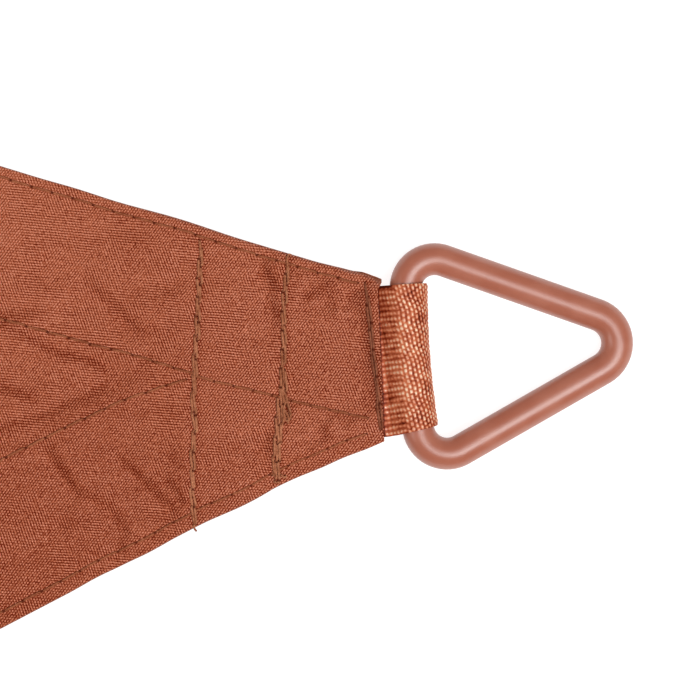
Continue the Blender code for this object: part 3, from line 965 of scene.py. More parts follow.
def in_each_corner(master: bpy.types.Mesh, names: tuple[str, str],
                   material: bpy.types.Material) -> list[bpy.types.Object]:
    """Make a piece for each corner of a mesh that was made for corner a.

    Args:
        master: The mesh.
        names: What the pieces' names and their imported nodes' names start with.
        material: The pieces' material.

    Returns:
        The pieces.
    """
    made = []
    for corner in Corner:
        mesh = master.copy()
        mesh.transform(corner.turn)
        piece, node = (f"{name}_{corner.letter}" for name in names)
        made.append(finished(piece, mesh, material, [node]))
    return made


def grid_faces(rows: int, columns: int, first: int = 0, flip: bool = False) -> np.ndarray:
    """Quads of a grid of rows by columns of points.

    Args:
        rows: Number of rows of points.
        columns: Number of points in a row.
        first: Number of the grid's first point.
        flip: Whether the faces point the other way.

    Returns:
        An array with four point numbers a face.
    """
    index = first + np.arange(rows * columns).reshape(rows, columns)
    quads = np.stack([index[:-1, :-1], index[1:, :-1], index[1:, 1:], index[:-1, 1:]], axis=-1).reshape(-1, 4)
    return quads[:, ::-1] if flip else quads


def strip_faces(one: np.ndarray, other: np.ndarray) -> np.ndarray:
    """Quads between two lines of point numbers."""
    return np.stack([one[:-1], one[1:], other[1:], other[:-1]], axis=-1)


def mesh_of(name: str, points: np.ndarray, faces: np.ndarray) -> bpy.types.Mesh:
    """Mesh of points and quads, shaded smooth.

    Args:
        name: Its name.
        points: Its points.
        faces: Four point numbers a face.

    Returns:
        The mesh.
    """
    mesh = bpy.data.meshes.new(name)
    mesh.from_pydata(points.tolist(), [], faces.tolist())
    mesh.shade_smooth()
    mesh.set_sharp_from_angle(angle=SHARP)
    return mesh


def merge_points(mesh: bpy.types.Mesh, distance: float) -> None:
    """Make one of all points that lie closer together than a distance.

    Args:
        mesh: The mesh.
        distance: The distance.
    """
    bm = bmesh.new()
    bm.from_mesh(mesh)
    bmesh.ops.remove_doubles(bm, verts=bm.verts, dist=distance)
    bm.to_mesh(mesh)
    bm.free()
    mesh.set_sharp_from_angle(angle=SHARP)


def mark_points(mesh: bpy.types.Mesh, name: str, values: np.ndarray) -> None:
    """Keep a number on each point of a mesh."""
    kept = mesh.attributes.new(name, "FLOAT", "POINT")
    kept.data.foreach_set("value", values.astype(np.float32))


# ---------------------------------------------------------------- shader nodes


class Value:
    """A number in a node tree, which adds its Math nodes when it is reckoned with."""

    def __init__(self, nodes: "Nodes", socket: bpy.types.NodeSocket) -> None:
        """Wrap a socket of a tree."""
        self.nodes = nodes
        self.socket = socket

    def _math(self, operation: str, one: "Value | float", two: "Value | float" = 0.0) -> "Value":
        """Reckon with two numbers, either of which may be plain."""
        made = self.nodes.node("ShaderNodeMath", {"operation": operation}, {0: one, 1: two})
        return Value(self.nodes, made.outputs[0])

    def __add__(self, other: "Value | float") -> "Value":
        """Sum."""
        return self._math("ADD", self, other)

    def __sub__(self, other: "Value | float") -> "Value":
        """Difference."""
        return self._math("SUBTRACT", self, other)

    def __rsub__(self, other: float) -> "Value":
        """Difference from a plain number."""
        return self._math("SUBTRACT", other, self)

    def __mul__(self, other: "Value | float") -> "Value":
        """Product."""
        return self._math("MULTIPLY", self, other)

    def __truediv__(self, other: "Value | float") -> "Value":
        """Quotient."""
        return self._math("DIVIDE", self, other)

    def __pow__(self, other: float) -> "Value":
        """Power."""
        return self._math("POWER", self, other)

    __radd__ = __add__
    __rmul__ = __mul__

    def cos(self) -> "Value":
        """Cosine."""
        return self._math("COSINE", self)

    def floor(self) -> "Value":
        """The whole number below it."""
        return self._math("FLOOR", self)

    def fraction(self) -> "Value":
        """What it has over the whole number below it."""
        return self._math("FRACT", self)

    def clamped(self) -> "Value":
        """Kept between 0 and 1."""
        return self._math("MINIMUM", self._math("MAXIMUM", self, 0.0), 1.0)

    def eased(self, low: float, high: float) -> "Value":
        """Ease from 0 at low to 1 at high."""
        share = ((self - low) / (high - low)).clamped()
        return share * share * (3.0 - 2.0 * share)


class Nodes:
    """A node tree, with one method that adds nodes."""

    def __init__(self, tree: bpy.types.NodeTree) -> None:
        """Work on a tree."""
        self.tree = tree

    def node(self, kind: str, settings: Settings, sockets: Sockets) -> bpy.types.Node:
        """Add a node.

        Args:
            kind: Its type.
            settings: Its properties, which are set first.
            sockets: A value or a link for each input, by name or number.

        Returns:
            The node.
        """
        made = self.tree.nodes.new(kind)
        for key, value in settings.items():
            setattr(made, key, value)
        for key, value in sockets.items():
            self.feed(made.inputs[key], value)
        return made

    def feed(self, socket: bpy.types.NodeSocket, value: object) -> None:
        """Link or set one input.

        Args:
            socket: The input.
            value: A value, a link or a plain value.
        """
        if isinstance(value, Value):
            value = value.socket
        if isinstance(value, bpy.types.NodeSocket):
            self.tree.links.new(value, socket)
        else:
            socket.default_value = value


class Desk(Nodes):
    """A material's nodes."""

    def __init__(self, name: str) -> None:
        """Start a material with a Principled shader.

        Args:
            name: The material's name.
        """
        self.material = bpy.data.materials.new(name)
        self.material.use_nodes = True
        super().__init__(self.material.node_tree)
        self.shader = self.tree.nodes["Principled BSDF"]

    def mapped(self, turn: float = 0.0, stretch: Sequence[float] = (1, 1, 1),
               shift: float = 0.0) -> bpy.types.NodeSocket:
        """Object coordinates, turned about Z, stretched and moved along X.

        Args:
            turn: Angle about Z.
            stretch: Factor along each axis.
            shift: How far they move along X.

        Returns:
            The coordinates' link.
        """
        coordinates = self.node("ShaderNodeTexCoord", {}, {}).outputs["Object"]
        return self.node("ShaderNodeMapping", {}, {
            "Vector": coordinates, "Rotation": (0, 0, turn), "Scale": tuple(stretch),
            "Location": (shift, 0, 0)}).outputs[0]

    def place(self, turn: float = 0.0) -> tuple[Value, Value]:
        """X and Y of object coordinates that are turned about Z."""
        split = self.node("ShaderNodeSeparateXYZ", {}, {0: self.mapped(turn)})
        return Value(self, split.outputs[0]), Value(self, split.outputs[1])

    def noise(self, scale: float, detail: float = 2.0, shift: float = 0.0,
              stretch: Sequence[float] = (1, 1, 1), turn: float = 0.0) -> Value:
        """Soft noise around 0.5 on object coordinates, with features of about 1 / scale.

        Args:
            scale: Its features a metre.
            detail: How much finer noise it has.
            shift: Moves it along X, for noise of its own.
            stretch: Features a metre along each axis, as shares of the scale.
            turn: Angle by which its axes are turned about Z.

        Returns:
            The noise.
        """
        found = self.node("ShaderNodeTexNoise", {"noise_dimensions": "3D"}, {
            "Vector": self.mapped(turn, stretch, shift), "Scale": scale, "Detail": detail})
        return Value(self, found.outputs["Fac"])

    def attribute(self, name: str) -> Value:
        """A number kept on the piece's points."""
        found = self.node("ShaderNodeAttribute", {"attribute_name": name}, {})
        return Value(self, found.outputs["Fac"])

    def ramp(self, share: Value, stops: Sequence[tuple[float, Colour]]) -> bpy.types.NodeSocket:
        """Colour that goes through stops as the share goes from 0 to 1.

        Args:
            share: Where on the ramp the colour is taken.
            stops: A position and a colour for each stop.

        Returns:
            The colour's link.
        """
        made = self.tree.nodes.new("ShaderNodeValToRGB")
        elements = made.color_ramp.elements
        while len(elements) < len(stops):
            elements.new(0.5)
        for element, (position, colour) in zip(elements, stops):
            element.position = position
            element.color = (*colour, 1.0)
        self.feed(made.inputs[0], share)
        return made.outputs[0]

    def blend(self, share: Value, one: object, other: object) -> bpy.types.NodeSocket:
        """Mix of two colours, each a link or a plain colour.

        Args:
            share: The other colour's share.
            one: The first colour.
            other: The other colour.

        Returns:
            The colour's link.
        """
        made = self.node("ShaderNodeMix", {"data_type": "RGBA", "blend_type": "MIX"}, {0: share})
        # Inputs 6 and 7 are the node's two colours, and output 2 is the mixed one.
        for number, colour in ((6, one), (7, other)):
            self.feed(made.inputs[number], (*colour, 1.0) if isinstance(colour, tuple) else colour)
        return made.outputs[2]

    def finish(self, colour: object, roughness: object, height: Value | None = None, depth: float = 0.0,
               **others: "Value | float") -> bpy.types.Material:
        """Feed the shader, and return the material.

        Args:
            colour: Base colour, as a link or a plain colour.
            roughness: Roughness, as a value or a plain number.
            height: What bumps the surface.
            depth: How far a height of 1 stands out, in metres.
            others: Other inputs, with underscores for spaces.

        Returns:
            The material.
        """
        colour = (*colour, 1.0) if isinstance(colour, tuple) else colour
        self.feed(self.shader.inputs["Base Color"], colour)
        self.feed(self.shader.inputs["Roughness"], roughness)
        if height is not None:
            bump = self.node("ShaderNodeBump", {}, {"Strength": 1.0, "Distance": depth, "Height": height})
            self.feed(self.shader.inputs["Normal"], bump.outputs[0])
        for key, value in others.items():
            self.feed(self.shader.inputs[key.replace("_", " ")], value)
        return self.material


def srgb(red: float, green: float, blue: float) -> Colour:
    """Linear colour of screen values from 0 to 255."""
    return tuple((value / 255 / 12.92 if value <= 10 else ((value / 255 + 0.055) / 1.055) ** 2.4)
                 for value in (red, green, blue))


# ---------------------------------------------------------------- finishes


@dataclass(frozen=True)
class WovenCloth:
    """Plain-woven polyester, a little satiny, with its threads askew to the corner's axis."""

    # Ramp stops: dark is painted shade in the weave's gaps, light a painted highlight on the thread tops, rim
    # a painted shade along the rolled edges.
    light: Colour = srgb(221, 138, 108)
    middle: Colour = srgb(181, 97, 66)
    dark: Colour = srgb(106, 27, 3)
    rim: Colour = srgb(146, 84, 60)
    fine_pitch: float = 0.318 * MM
    coarse_pitch: float = 0.489 * MM
    turn: float = math.radians(-47.3)
    wobble: float = 0.9
    row_weight: Pair = (0.18, 0.47)     # of the rows: everywhere, and more where rows show
    diagonal_weight: Pair = (0.40, 0.45)    # of the diagonals, in the same way
    speckle: Pair = (0.4, 1.2)      # least weight of the weave, and how much the grain adds
    contrast: Pair = (0.42, 0.10)   # of the weave: everywhere, and more near corner a's end
    grain: Pair = (1.4, 0.4)        # contrast of the grain, in the same way
    slub: float = 0.18                # weight of threads that are thicker than others
    tone: float = 0.10                # weight of patches about 2 cm wide
    slow: float = 0.48                # weight of patches about 9 cm wide
    slow_middle: float = 0.69         # their noise where they change nothing
    crown_highlight_from: float = 0.35          # brightness above which a thread shines
    relief: float = 0.05 * MM
    sheen: float = 0.4

    def material(self) -> bpy.types.Material:
        """Build the cloth's material.

        Returns:
            The material.
        """
        desk = Desk("woven_cloth")
        across, along = desk.place(self.turn)
        place_x, place_y = desk.place()
        drift = desk.noise(70.0, 1.0)
        sway = desk.noise(55.0, 1.0, 3.0)
        u = across / self.fine_pitch + (drift - 0.5) * (2 * self.wobble)
        v = (along + desk.attribute("depth")) / self.coarse_pitch + (sway - 0.5) * (2 * self.wobble)
        rise = ((u + v) * math.pi).cos()
        fall = ((u - v) * math.pi).cos()
        ridge = (v * (2 * math.pi)).cos()
        outer = place_x.eased(1.63, 1.66) * 0.07 + place_y.eased(0.0, -0.03) * 0.04
        rows = (desk.noise(150.0, 1.0, 7.0) + outer).eased(0.44, 0.58)
        pair = desk.noise(130.0, 1.0, 11.0).eased(0.42, 0.58)
        low, more = self.row_weight
        weave = ridge * (low + more * rows)
        low, more = self.diagonal_weight
        weave = weave + rise * (low + more * (1.0 - rows) * pair)
        weave = weave + fall * (low + more * (1.0 - rows) * (1.0 - pair))
        grain = desk.noise(3000.0, 1.0, 5.0)
        slub = desk.noise(300.0, 2.0, 5.0, (0.15, 1.0, 1.0), self.turn)
        tone = desk.noise(45.0, 3.0, 2.0)
        slow = desk.noise(11.0, 1.0, 1.75)
        weave = weave * (self.speckle[0] + self.speckle[1] * grain)
        crisp = place_x.eased(1.62, 1.67)
        share = 0.5 + weave * (self.contrast[0] + self.contrast[1] * crisp)
        share = share + (grain - 0.5) * (self.grain[0] + self.grain[1] * crisp)
        share = share + (slub - 0.5) * self.slub + (tone - 0.5) * self.tone
        # The painted shade of the creases and cross rows darkens the colour.
        share = share + (slow - self.slow_middle) * self.slow - desk.attribute("shade")
        rim = desk.attribute("rim")
        # The ramp paints the weave in light and shade: its dark stop is painted shade between threads, its
        # light stop a painted highlight on the thread tops.
        colour = desk.ramp(share.clamped(), [(0.0, self.dark), (0.5, self.middle), (1.0, self.light)])
        # Painted shade along the rolled edges.
        edged = desk.blend(rim, colour, self.rim)
        crowns = (share - self.crown_highlight_from).clamped() * (1.0 - rim)
        return desk.finish(edged, 0.6 - 0.15 * share.clamped(), weave, self.relief,
                           Specular_IOR_Level=0.04, Coat_Weight=crowns * self.sheen, Coat_Roughness=0.42)


@dataclass(frozen=True)
class WovenWebbing:
    """Ribbed webbing of shiny yarn, coloured by its relief with painted shade in its gaps and a painted
    highlight on its ribs.
    """

    # Painted shadow in the crack at the cloth's end and along the webbing's dark end.
    crack_shadow: Colour = srgb(84, 22, 5)
    # Painted shade between the ribs.
    gap: Colour = srgb(148, 58, 30)
    yarn: Colour = srgb(218, 122, 82)
    # Painted highlight on the crowns of the ribs and beads.
    crown_highlight: Colour = srgb(255, 222, 184)

    def material(self) -> bpy.types.Material:
        """Build the webbing's material.

        Returns:
            The material.
        """
        desk = Desk("woven_webbing")
        relief = desk.attribute("relief")
        fibre = desk.noise(2600.0, 2.0, 0.0, (0.25, 1.0, 1.0))
        tone = desk.noise(420.0, 2.0, 4.0)
        share = relief + (fibre - 0.5) * 0.5 + (tone - 0.5) * 0.7
        stops = [(0.0, self.crack_shadow), (0.16, self.gap), (0.52, self.yarn), (1.0, self.crown_highlight)]
        colour = desk.ramp(share.clamped(), stops)
        gloss = (relief - 0.4).clamped() * 1.6
        return desk.finish(colour, 0.5 - 0.1 * relief, fibre, 0.02 * MM,
                           Specular_IOR_Level=0.1, Coat_Weight=gloss, Coat_Roughness=0.3, Coat_IOR=2.0)


@dataclass(frozen=True)
class WireCoating:
    """Semi-gloss coating over steel wire."""

    base: Colour = srgb(175, 99, 74)
    pale: Colour = srgb(182, 109, 85)

    def material(self) -> bpy.types.Material:
        """Build the coating's material.

        Returns:
            The material.
        """
        desk = Desk("wire_coating")
        cloud = desk.noise(180.0, 3.0)
        peel = desk.noise(1500.0, 2.0, 9.0)
        colour = desk.blend(cloud.eased(0.35, 0.7), self.base, self.pale)
        return desk.finish(colour, 0.27 + 0.12 * cloud, peel, 0.010 * MM, Specular_IOR_Level=0.8)


@dataclass(frozen=True)
class SewingThread:
    """Spun thread, with a painted shadow at its ends, where it goes down into the cloth."""

    name: str
    deep: Colour
    pale: Colour
    hole_shadow: Colour = srgb(92, 30, 10)
    end: Pair = (0.05, 0.42)

    def material(self) -> bpy.types.Material:
        """Build the thread's material.

        Returns:
            The material.
        """
        desk = Desk(self.name)
        # Painted shadow of the needle holes: the colour turns to the hole's shadow colour where the stitch
        # dips into the cloth.
        shown = desk.attribute("hump").eased(*self.end)
        strand = desk.noise(1500.0, 2.0)
        tone = desk.noise(170.0, 2.0, 6.0)
        body = desk.blend((0.5 + (strand - 0.5) * 1.6 + (tone - 0.5) * 1.4).clamped(), self.deep, self.pale)
        colour = desk.blend(shown, self.hole_shadow, body)
        return desk.finish(colour, 0.6, strand, 0.03 * MM, Specular_IOR_Level=0.08)


@dataclass(frozen=True)
class Floor:
    """Plain pale table that glows a little, as a lit sweep does."""

    tone: Colour = (0.35, 0.35, 0.35)
    glow: float = 0.85

    def material(self) -> bpy.types.Material:
        """Build the floor's material.

        Returns:
            The material.
        """
        desk = Desk("pale_floor")
        desk.shader.inputs["Emission Color"].default_value = (1.0, 1.0, 1.0, 1.0)
        return desk.finish(self.tone, 0.8, None, 0.0, Specular_IOR_Level=0.2, Emission_Strength=self.glow)


# ---------------------------------------------------------------- geometry trees


SOCKET_TYPES = {
    float: "NodeSocketFloat", int: "NodeSocketInt", bpy.types.Material: "NodeSocketMaterial",
}


class Tree(Nodes):
    """A geometry tree with named inputs, which is run on an object and then taken off it."""

    def __init__(self, name: str, inputs: dict[str, object]) -> None:
        """Start a tree.

        Args:
            name: Its name.
            inputs: The value of each named input.
        """
        super().__init__(bpy.data.node_groups.new(name, "GeometryNodeTree"))
        faces = self.tree.interface
        faces.new_socket("Geometry", in_out="INPUT", socket_type="NodeSocketGeometry")
        self.values = {}
        for label, value in inputs.items():
            item = faces.new_socket(label, in_out="INPUT", socket_type=SOCKET_TYPES[type(value)])
            self.values[item.identifier] = value
        faces.new_socket("Geometry", in_out="OUTPUT", socket_type="NodeSocketGeometry")
        self.source = self.tree.nodes.new("NodeGroupInput")
        self.sink = self.tree.nodes.new("NodeGroupOutput")

    def given(self, label: str) -> Value:
        """One of the named inputs."""
        return Value(self, self.source.outputs[label])

    def sweep(self, curve: object, caps: bool = True) -> None:
        """Sweep a round section along a curve, give it its material, and close the tree.

        Args:
            curve: Link of the curve.
            caps: Whether its ends are closed.
        """
        circle = self.node("GeometryNodeCurvePrimitiveCircle", {"mode": "RADIUS"}, {
            "Resolution": self.given("Sides"), "Radius": self.given("Radius")})
        swept = self.node("GeometryNodeCurveToMesh", {}, {
            "Curve": curve, "Profile Curve": circle.outputs[0], "Fill Caps": caps})
        smooth = self.node("GeometryNodeSetShadeSmooth", {}, {"Geometry": swept.outputs[0]})
        real = self.node("GeometryNodeRealizeInstances", {}, {"Geometry": smooth.outputs[0]})
        dressed = self.node("GeometryNodeSetMaterial", {}, {
            "Geometry": real.outputs[0], "Material": self.given("Material")})
        self.feed(self.sink.inputs[0], dressed.outputs[0])

    def run(self, carrier: bpy.types.Object) -> bpy.types.Mesh:
        """Run the tree on an object, and return the plain mesh that it makes.

        Args:
            carrier: The object, which is then deleted.

        Returns:
            The mesh.
        """
        modifier = carrier.modifiers.new(self.tree.name, "NODES")
        modifier.node_group = self.tree
        for identifier, value in self.values.items():
            modifier[identifier] = value
        bpy.context.view_layer.update()
        seen = carrier.evaluated_get(bpy.context.evaluated_depsgraph_get())
        mesh = bpy.data.meshes.new_from_object(seen)
        carrier.modifiers.remove(modifier)
        bpy.data.objects.remove(carrier)
        return mesh


def curve_object(name: str, lines: Sequence[np.ndarray], cyclic: bool = False,
                 radii: Sequence[float] | None = None) -> bpy.types.Object:
    """A curve object of straight-sided lines, which carries a geometry tree.

    Args:
        name: Its name.
        lines: The points of each line.
        cyclic: Whether the lines are closed.
        radii: A radius for each point of a line.

    Returns:
        The object.
    """
    curve = bpy.data.curves.new(name, "CURVE")
    curve.dimensions = "3D"
    for line in lines:
        spline = curve.splines.new("POLY")
        spline.points.add(len(line) - 1)
        spline.points.foreach_set("co", np.column_stack([line, np.ones(len(line))]).ravel())
        if radii is not None:
            spline.points.foreach_set("radius", radii)
        spline.use_cyclic_u = cyclic
    return placed(name, curve)


# ---------------------------------------------------------------- sub-assemblies


@dataclass
class SailCloth:
    """The cloth: one closed sheet with a pocket for the webbing in each corner."""

    plan: SailPlan
    relief: ClothRelief
    finish: WovenCloth
    pocket_rows: int = 14
    pocket_length: float = 38 * MM
    rim_width: float = 0.2 * MM
    hem_turn: float = 0.26            # cloth that is turned under, in square metres

    def pocket_columns(self, t_end: np.ndarray) -> tuple[int, int]:
        """First and last column of the pocket's mouth, at the cloth's end."""
        left, right = self.relief.pocket
        return int(np.argmin(abs(t_end + right))), int(np.argmin(abs(t_end - left)))

    def third(self) -> tuple[np.ndarray, np.ndarray, np.ndarray]:
        """Points of corner a's third in s, t and height, its faces, and how deep each point lies.

        Returns:
            The points, the faces and the depths.
        """
        s, t = self.plan.third()
        under, top = self.relief.faces(s, t)
        rows, columns = s.shape
        count = rows * columns
        index = np.arange(count).reshape(rows, columns)
        points = [np.column_stack([s.ravel(), t.ravel(), top.ravel()]),
                  np.column_stack([s.ravel(), t.ravel(), under.ravel()])]
        faces = [grid_faces(rows, columns), grid_faces(rows, columns, count, True)]
        for column, flip in ((0, False), (columns - 1, True)):
            rim = strip_faces(index[:, column], index[:, column] + count)
            faces.append(rim[:, ::-1] if flip else rim)
        first, last = self.pocket_columns(t[0])
        for low, high in ((0, first), (last, columns - 1)):
            faces.append(strip_faces(index[0, low:high + 1] + count, index[0, low:high + 1]))
        room = self.pocket(s[0, first:last + 1], t[0, first:last + 1])
        mouth = index[0, first:last + 1]
        faces.append(self.pocket_faces(mouth, mouth + count, 2 * count))
        depth = np.concatenate([0 * top.ravel(), (top - under).ravel(), np.full(len(room), self.relief.ply)])
        return np.concatenate([*points, room]), np.concatenate(faces), depth

    def pocket(self, s: np.ndarray, t: np.ndarray) -> np.ndarray:
        """Points of the pocket's roof and floor, from its mouth to its back.

        Args:
            s: The mouth's distances outward.
            t: Its distances to the left.

        Returns:
            The points, row by row: first the roof's, then the floor's.
        """
        half = self.relief.ply + self.relief.gap
        shares = np.linspace(0, 1, self.pocket_rows)
        made = []
        for sign in (1, -1):
            for share in shares:
                deep = s * (1 - share) - self.pocket_length * share
                made.append(np.column_stack([deep, t, self.relief.tail_middle(deep) + sign * half]))
        return np.concatenate(made)

    def pocket_faces(self, upper: np.ndarray, lower: np.ndarray, first: int) -> np.ndarray:
        """Faces of the pocket and of the two lips round its mouth.

        Args:
            upper: Point numbers of the top face's end, over the mouth.
            lower: Point numbers of the underside's end.
            first: Number of the pocket's first point.

        Returns:
            The faces.
        """
        width, rows = len(upper), self.pocket_rows
        roof = first + np.arange(rows * width).reshape(rows, width)
        floor = roof + rows * width
        walls = [
            grid_faces(rows, width, first, True),
            grid_faces(rows, width, first + rows * width, False),
            strip_faces(roof[-1], floor[-1]),
            strip_faces(floor[:, 0], roof[:, 0]),
            strip_faces(roof[:, -1], floor[:, -1]),
            strip_faces(roof[0], upper),
            strip_faces(lower, floor[0]),
        ]
        ends = np.array([[upper[0], roof[0, 0], floor[0, 0], lower[0]],
                         [lower[-1], floor[0, -1], roof[0, -1], upper[-1]]])
        return np.concatenate([*walls, ends])

    def build(self) -> bpy.types.Object:
        """Make the sheet.

        Returns:
            The piece.
        """
        points, faces, depth = self.third()
        # Painted shade along the cloth's rolled edges: the rim share turns the colour to the rim stop.
        rim = 1 - smooth_step(self.plan.inside(points[:, 0], points[:, 1]) / self.rim_width)
        # Painted shade along the creases and the cross rows, kept on the points for the cloth's colour.
        shade = self.relief.shade(points[:, 0], points[:, 1])
        points = points + np.array([self.plan.end_x, 0, 0])
        turned = [corner.turned(points) for corner in Corner]
        numbered = [faces + len(points) * corner.value for corner in Corner]
        mesh = mesh_of("cloth_sheet", np.concatenate(turned), np.concatenate(numbered))
        mark_points(mesh, "rim", np.tile(rim, len(Corner)))
        mark_points(mesh, "shade", np.tile(shade, len(Corner)))
        mark_points(mesh, "depth", np.tile(depth, len(Corner)))
        merge_points(mesh, 0.01 * MM)
        return finished("cloth_sheet", mesh, self.finish.material(), ["sail_cloth"])


@dataclass
class WebbingLoop:
    """Webbing folded round the ring's bar, with both ends in the cloth's pocket."""

    plan: SailPlan
    relief: ClothRelief
    finish: WovenWebbing
    width: float = 30 * MM
    thickness: float = 0.92 * MM
    base_s: float = 5.8 * MM
    outer_radius: float = 4.5 * MM
    mouth: float = 0.35 * MM
    tail_length: float = 37.4 * MM
    tail_edges: Pair = (15.4 * MM, 14.7 * MM)
    loop_edges: Pair = (15.1 * MM, 13.3 * MM)
    step: float = 0.20 * MM
    columns: int = 150
    rib_pitch: float = 1.08 * MM      # across the webbing
    pick_pitch: float = 0.90 * MM     # along it
    lean: float = math.radians(11)    # of the picks
    dark_end: Pair = (14.6 * MM, 2.9 * MM)    # the shadow in the webbing's left edge: from t, to s
    bead_height: float = 0.26 * MM
    waist: float = 0.55 * MM          # how far the fold's outer edge is drawn in at mid-width
    slant: float = 0.45 * MM
    flat_run: float = 3.7 * MM        # length out of the cloth that stays flat
    open_run: float = 1.8 * MM        # length over which the ribs then open into beads
    ground: Pair = (0.28, 0.16)     # height between the beads, and how far it sinks further on
    ground_span: Pair = (1.5 * MM, 4.5 * MM)
    hidden: float = 3 * MM            # the tails are meshed finely from this far inside the cloth
    normal_reach: float = 0.5 * MM    # half the length over which a normal is found
    shown_run: float = 0.5 * MM       # length over which the relief starts at the cloth's end
    level: float = 0.7                # relief that lies in the webbing's plain outer face
    rim_width: float = 0.45 * MM
    rim_drop: float = 0.15 * MM       # how far its long edges are rounded off
    back_relief: float = 0.3          # what colours the inner face

    def outer_line(self) -> np.ndarray:
        """The outer face's line in s and z, from the upper end round to the lower end.

        Returns:
            The line's points.
        """
        run, rise = self.base_s - self.mouth, self.relief.ply
        lean = math.asin(self.outer_radius / math.hypot(run, rise)) - math.atan2(rise, run)
        tail_s = np.linspace(-self.tail_length, self.mouth, 120)
        tail = np.column_stack([tail_s, self.relief.tail_middle(tail_s) + self.relief.ply])
        angles = np.linspace(math.pi / 2 + lean, 0, 120)
        arc = np.column_stack([self.base_s + self.outer_radius * np.cos(angles),
                               self.relief.bar_z + self.outer_radius * np.sin(angles)])
        steps = np.linspace(0, 1, 30)[1:-1, None]
        upper = np.concatenate([tail, tail[-1] * (1 - steps) + arc[0] * steps, arc])
        lower = upper[-2::-1].copy()
        middle = self.relief.tail_middle(np.minimum(lower[:, 0], 0.0))
        lower[:, 1] = 2 * middle - lower[:, 1]
        return np.concatenate([upper, lower])

    def even(self, line: np.ndarray) -> tuple[np.ndarray, np.ndarray, np.ndarray]:
        """Points of the line at even steps, their outward normals, and lengths along it.

        Args:
            line: The line's points in s and z.

        Returns:
            The points, their normals and their lengths along the line.
        """
        length = np.concatenate([[0], np.cumsum(np.hypot(*np.diff(line, axis=0).T))])
        hidden = self.tail_length - self.hidden
        coarse = np.arange(0, hidden, 6 * self.step)
        fine = np.arange(hidden, length[-1] - hidden, self.step)
        places = np.concatenate([coarse, fine, length[-1] - coarse[::-1]])
        points = np.column_stack([np.interp(places, length, line[:, axis]) for axis in (0, 1)])
        ahead, behind = places + self.normal_reach, places - self.normal_reach
        tangent = np.column_stack([
            np.interp(ahead, length, line[:, axis]) - np.interp(behind, length, line[:, axis])
            for axis in (0, 1)])
        tangent /= np.hypot(*tangent.T)[:, None]
        return points, np.column_stack([-tangent[:, 1], tangent[:, 0]]), places

    def weave(self, along: np.ndarray, across: np.ndarray) -> np.ndarray:
        """Relief of the weave from 0 to 1.

        Ribs run along the webbing where it lies flat. Round the bar the picks open, and
        each rib breaks up into beads that are set off by half a rib from pick to pick.

        Args:
            along: Length along the webbing.
            across: Distance from its right edge.

        Returns:
            The relief.
        """
        wander = 0.15 * np.sin(across / (1.9 * MM) + along / (2.7 * MM)) + 0.10 * np.sin(across / (0.83 * MM))
        pick = (along + across * math.tan(self.lean)) / self.pick_pitch + wander
        number = np.floor(pick)
        inside = pick - number
        opened = smooth_step((along - self.round_start) / self.open_run)
        shake = 0.06 * np.sin(along / (0.7 * MM) + 3 * across / MM)
        rib = across / self.rib_pitch + 0.5 * (number % 2) * opened + shake
        offset = abs(2 * (rib - np.floor(rib)) - 1)
        spark = 0.5 + 0.5 * np.sin(12.9 * number + 7.7 * np.floor(rib))
        narrow = np.clip(1 - (1.5 * (2 * inside - 1)) ** 2, 0, 1)
        bead = np.sqrt(narrow) * np.clip(1 - offset**2.4, 0, 1) * (0.7 + 0.3 * spark)
        ridge = np.clip(1 - 1.25 * offset, 0, 1) * (0.72 + 0.28 * np.sin(math.pi * inside))
        knob = np.sin(math.pi * inside) ** 2 * (0.3 + 0.7 * spark)
        flat = 0.20 + 0.42 * ridge + 0.32 * knob * np.clip(1 - offset**2, 0, 1)
        ground = self.ground[0] - self.ground[1] * ease(along - self.round_start, *self.ground_span)
        return np.clip(flat * (1 - opened) + (ground + (1 - ground) * bead) * opened, 0, 1)

    @property
    def round_start(self) -> float:
        """Length along the webbing at which it starts to bend round the bar."""
        return self.tail_length + self.mouth + self.flat_run

    def mesh(self) -> bpy.types.Mesh:
        """Mesh of corner a's loop, in s, t and height.

        Returns:
            The mesh.
        """
        points, normals, along = self.even(self.outer_line())
        shares = np.linspace(0, 1, self.columns + 1)
        drawn = np.clip(points[:, 0] / (self.base_s + self.outer_radius), 0, 1)[:, None]
        left = self.tail_edges[0] * (1 - drawn) + self.loop_edges[0] * drawn
        right = self.tail_edges[1] * (1 - drawn) + self.loop_edges[1] * drawn
        t = -right + (left + right) * shares[None, :]
        total = float(along[-1])
        mirrored = np.minimum(along, total - along)
        relief = self.weave(mirrored[:, None], self.width * shares[None, :])
        # Near the cloth's end the relief falls to 0, which lowers the beads and paints the crack there in its
        # shadow colour.
        shown = smooth_step((points[:, :1] - self.plan.end_s(t)) / self.shown_run)
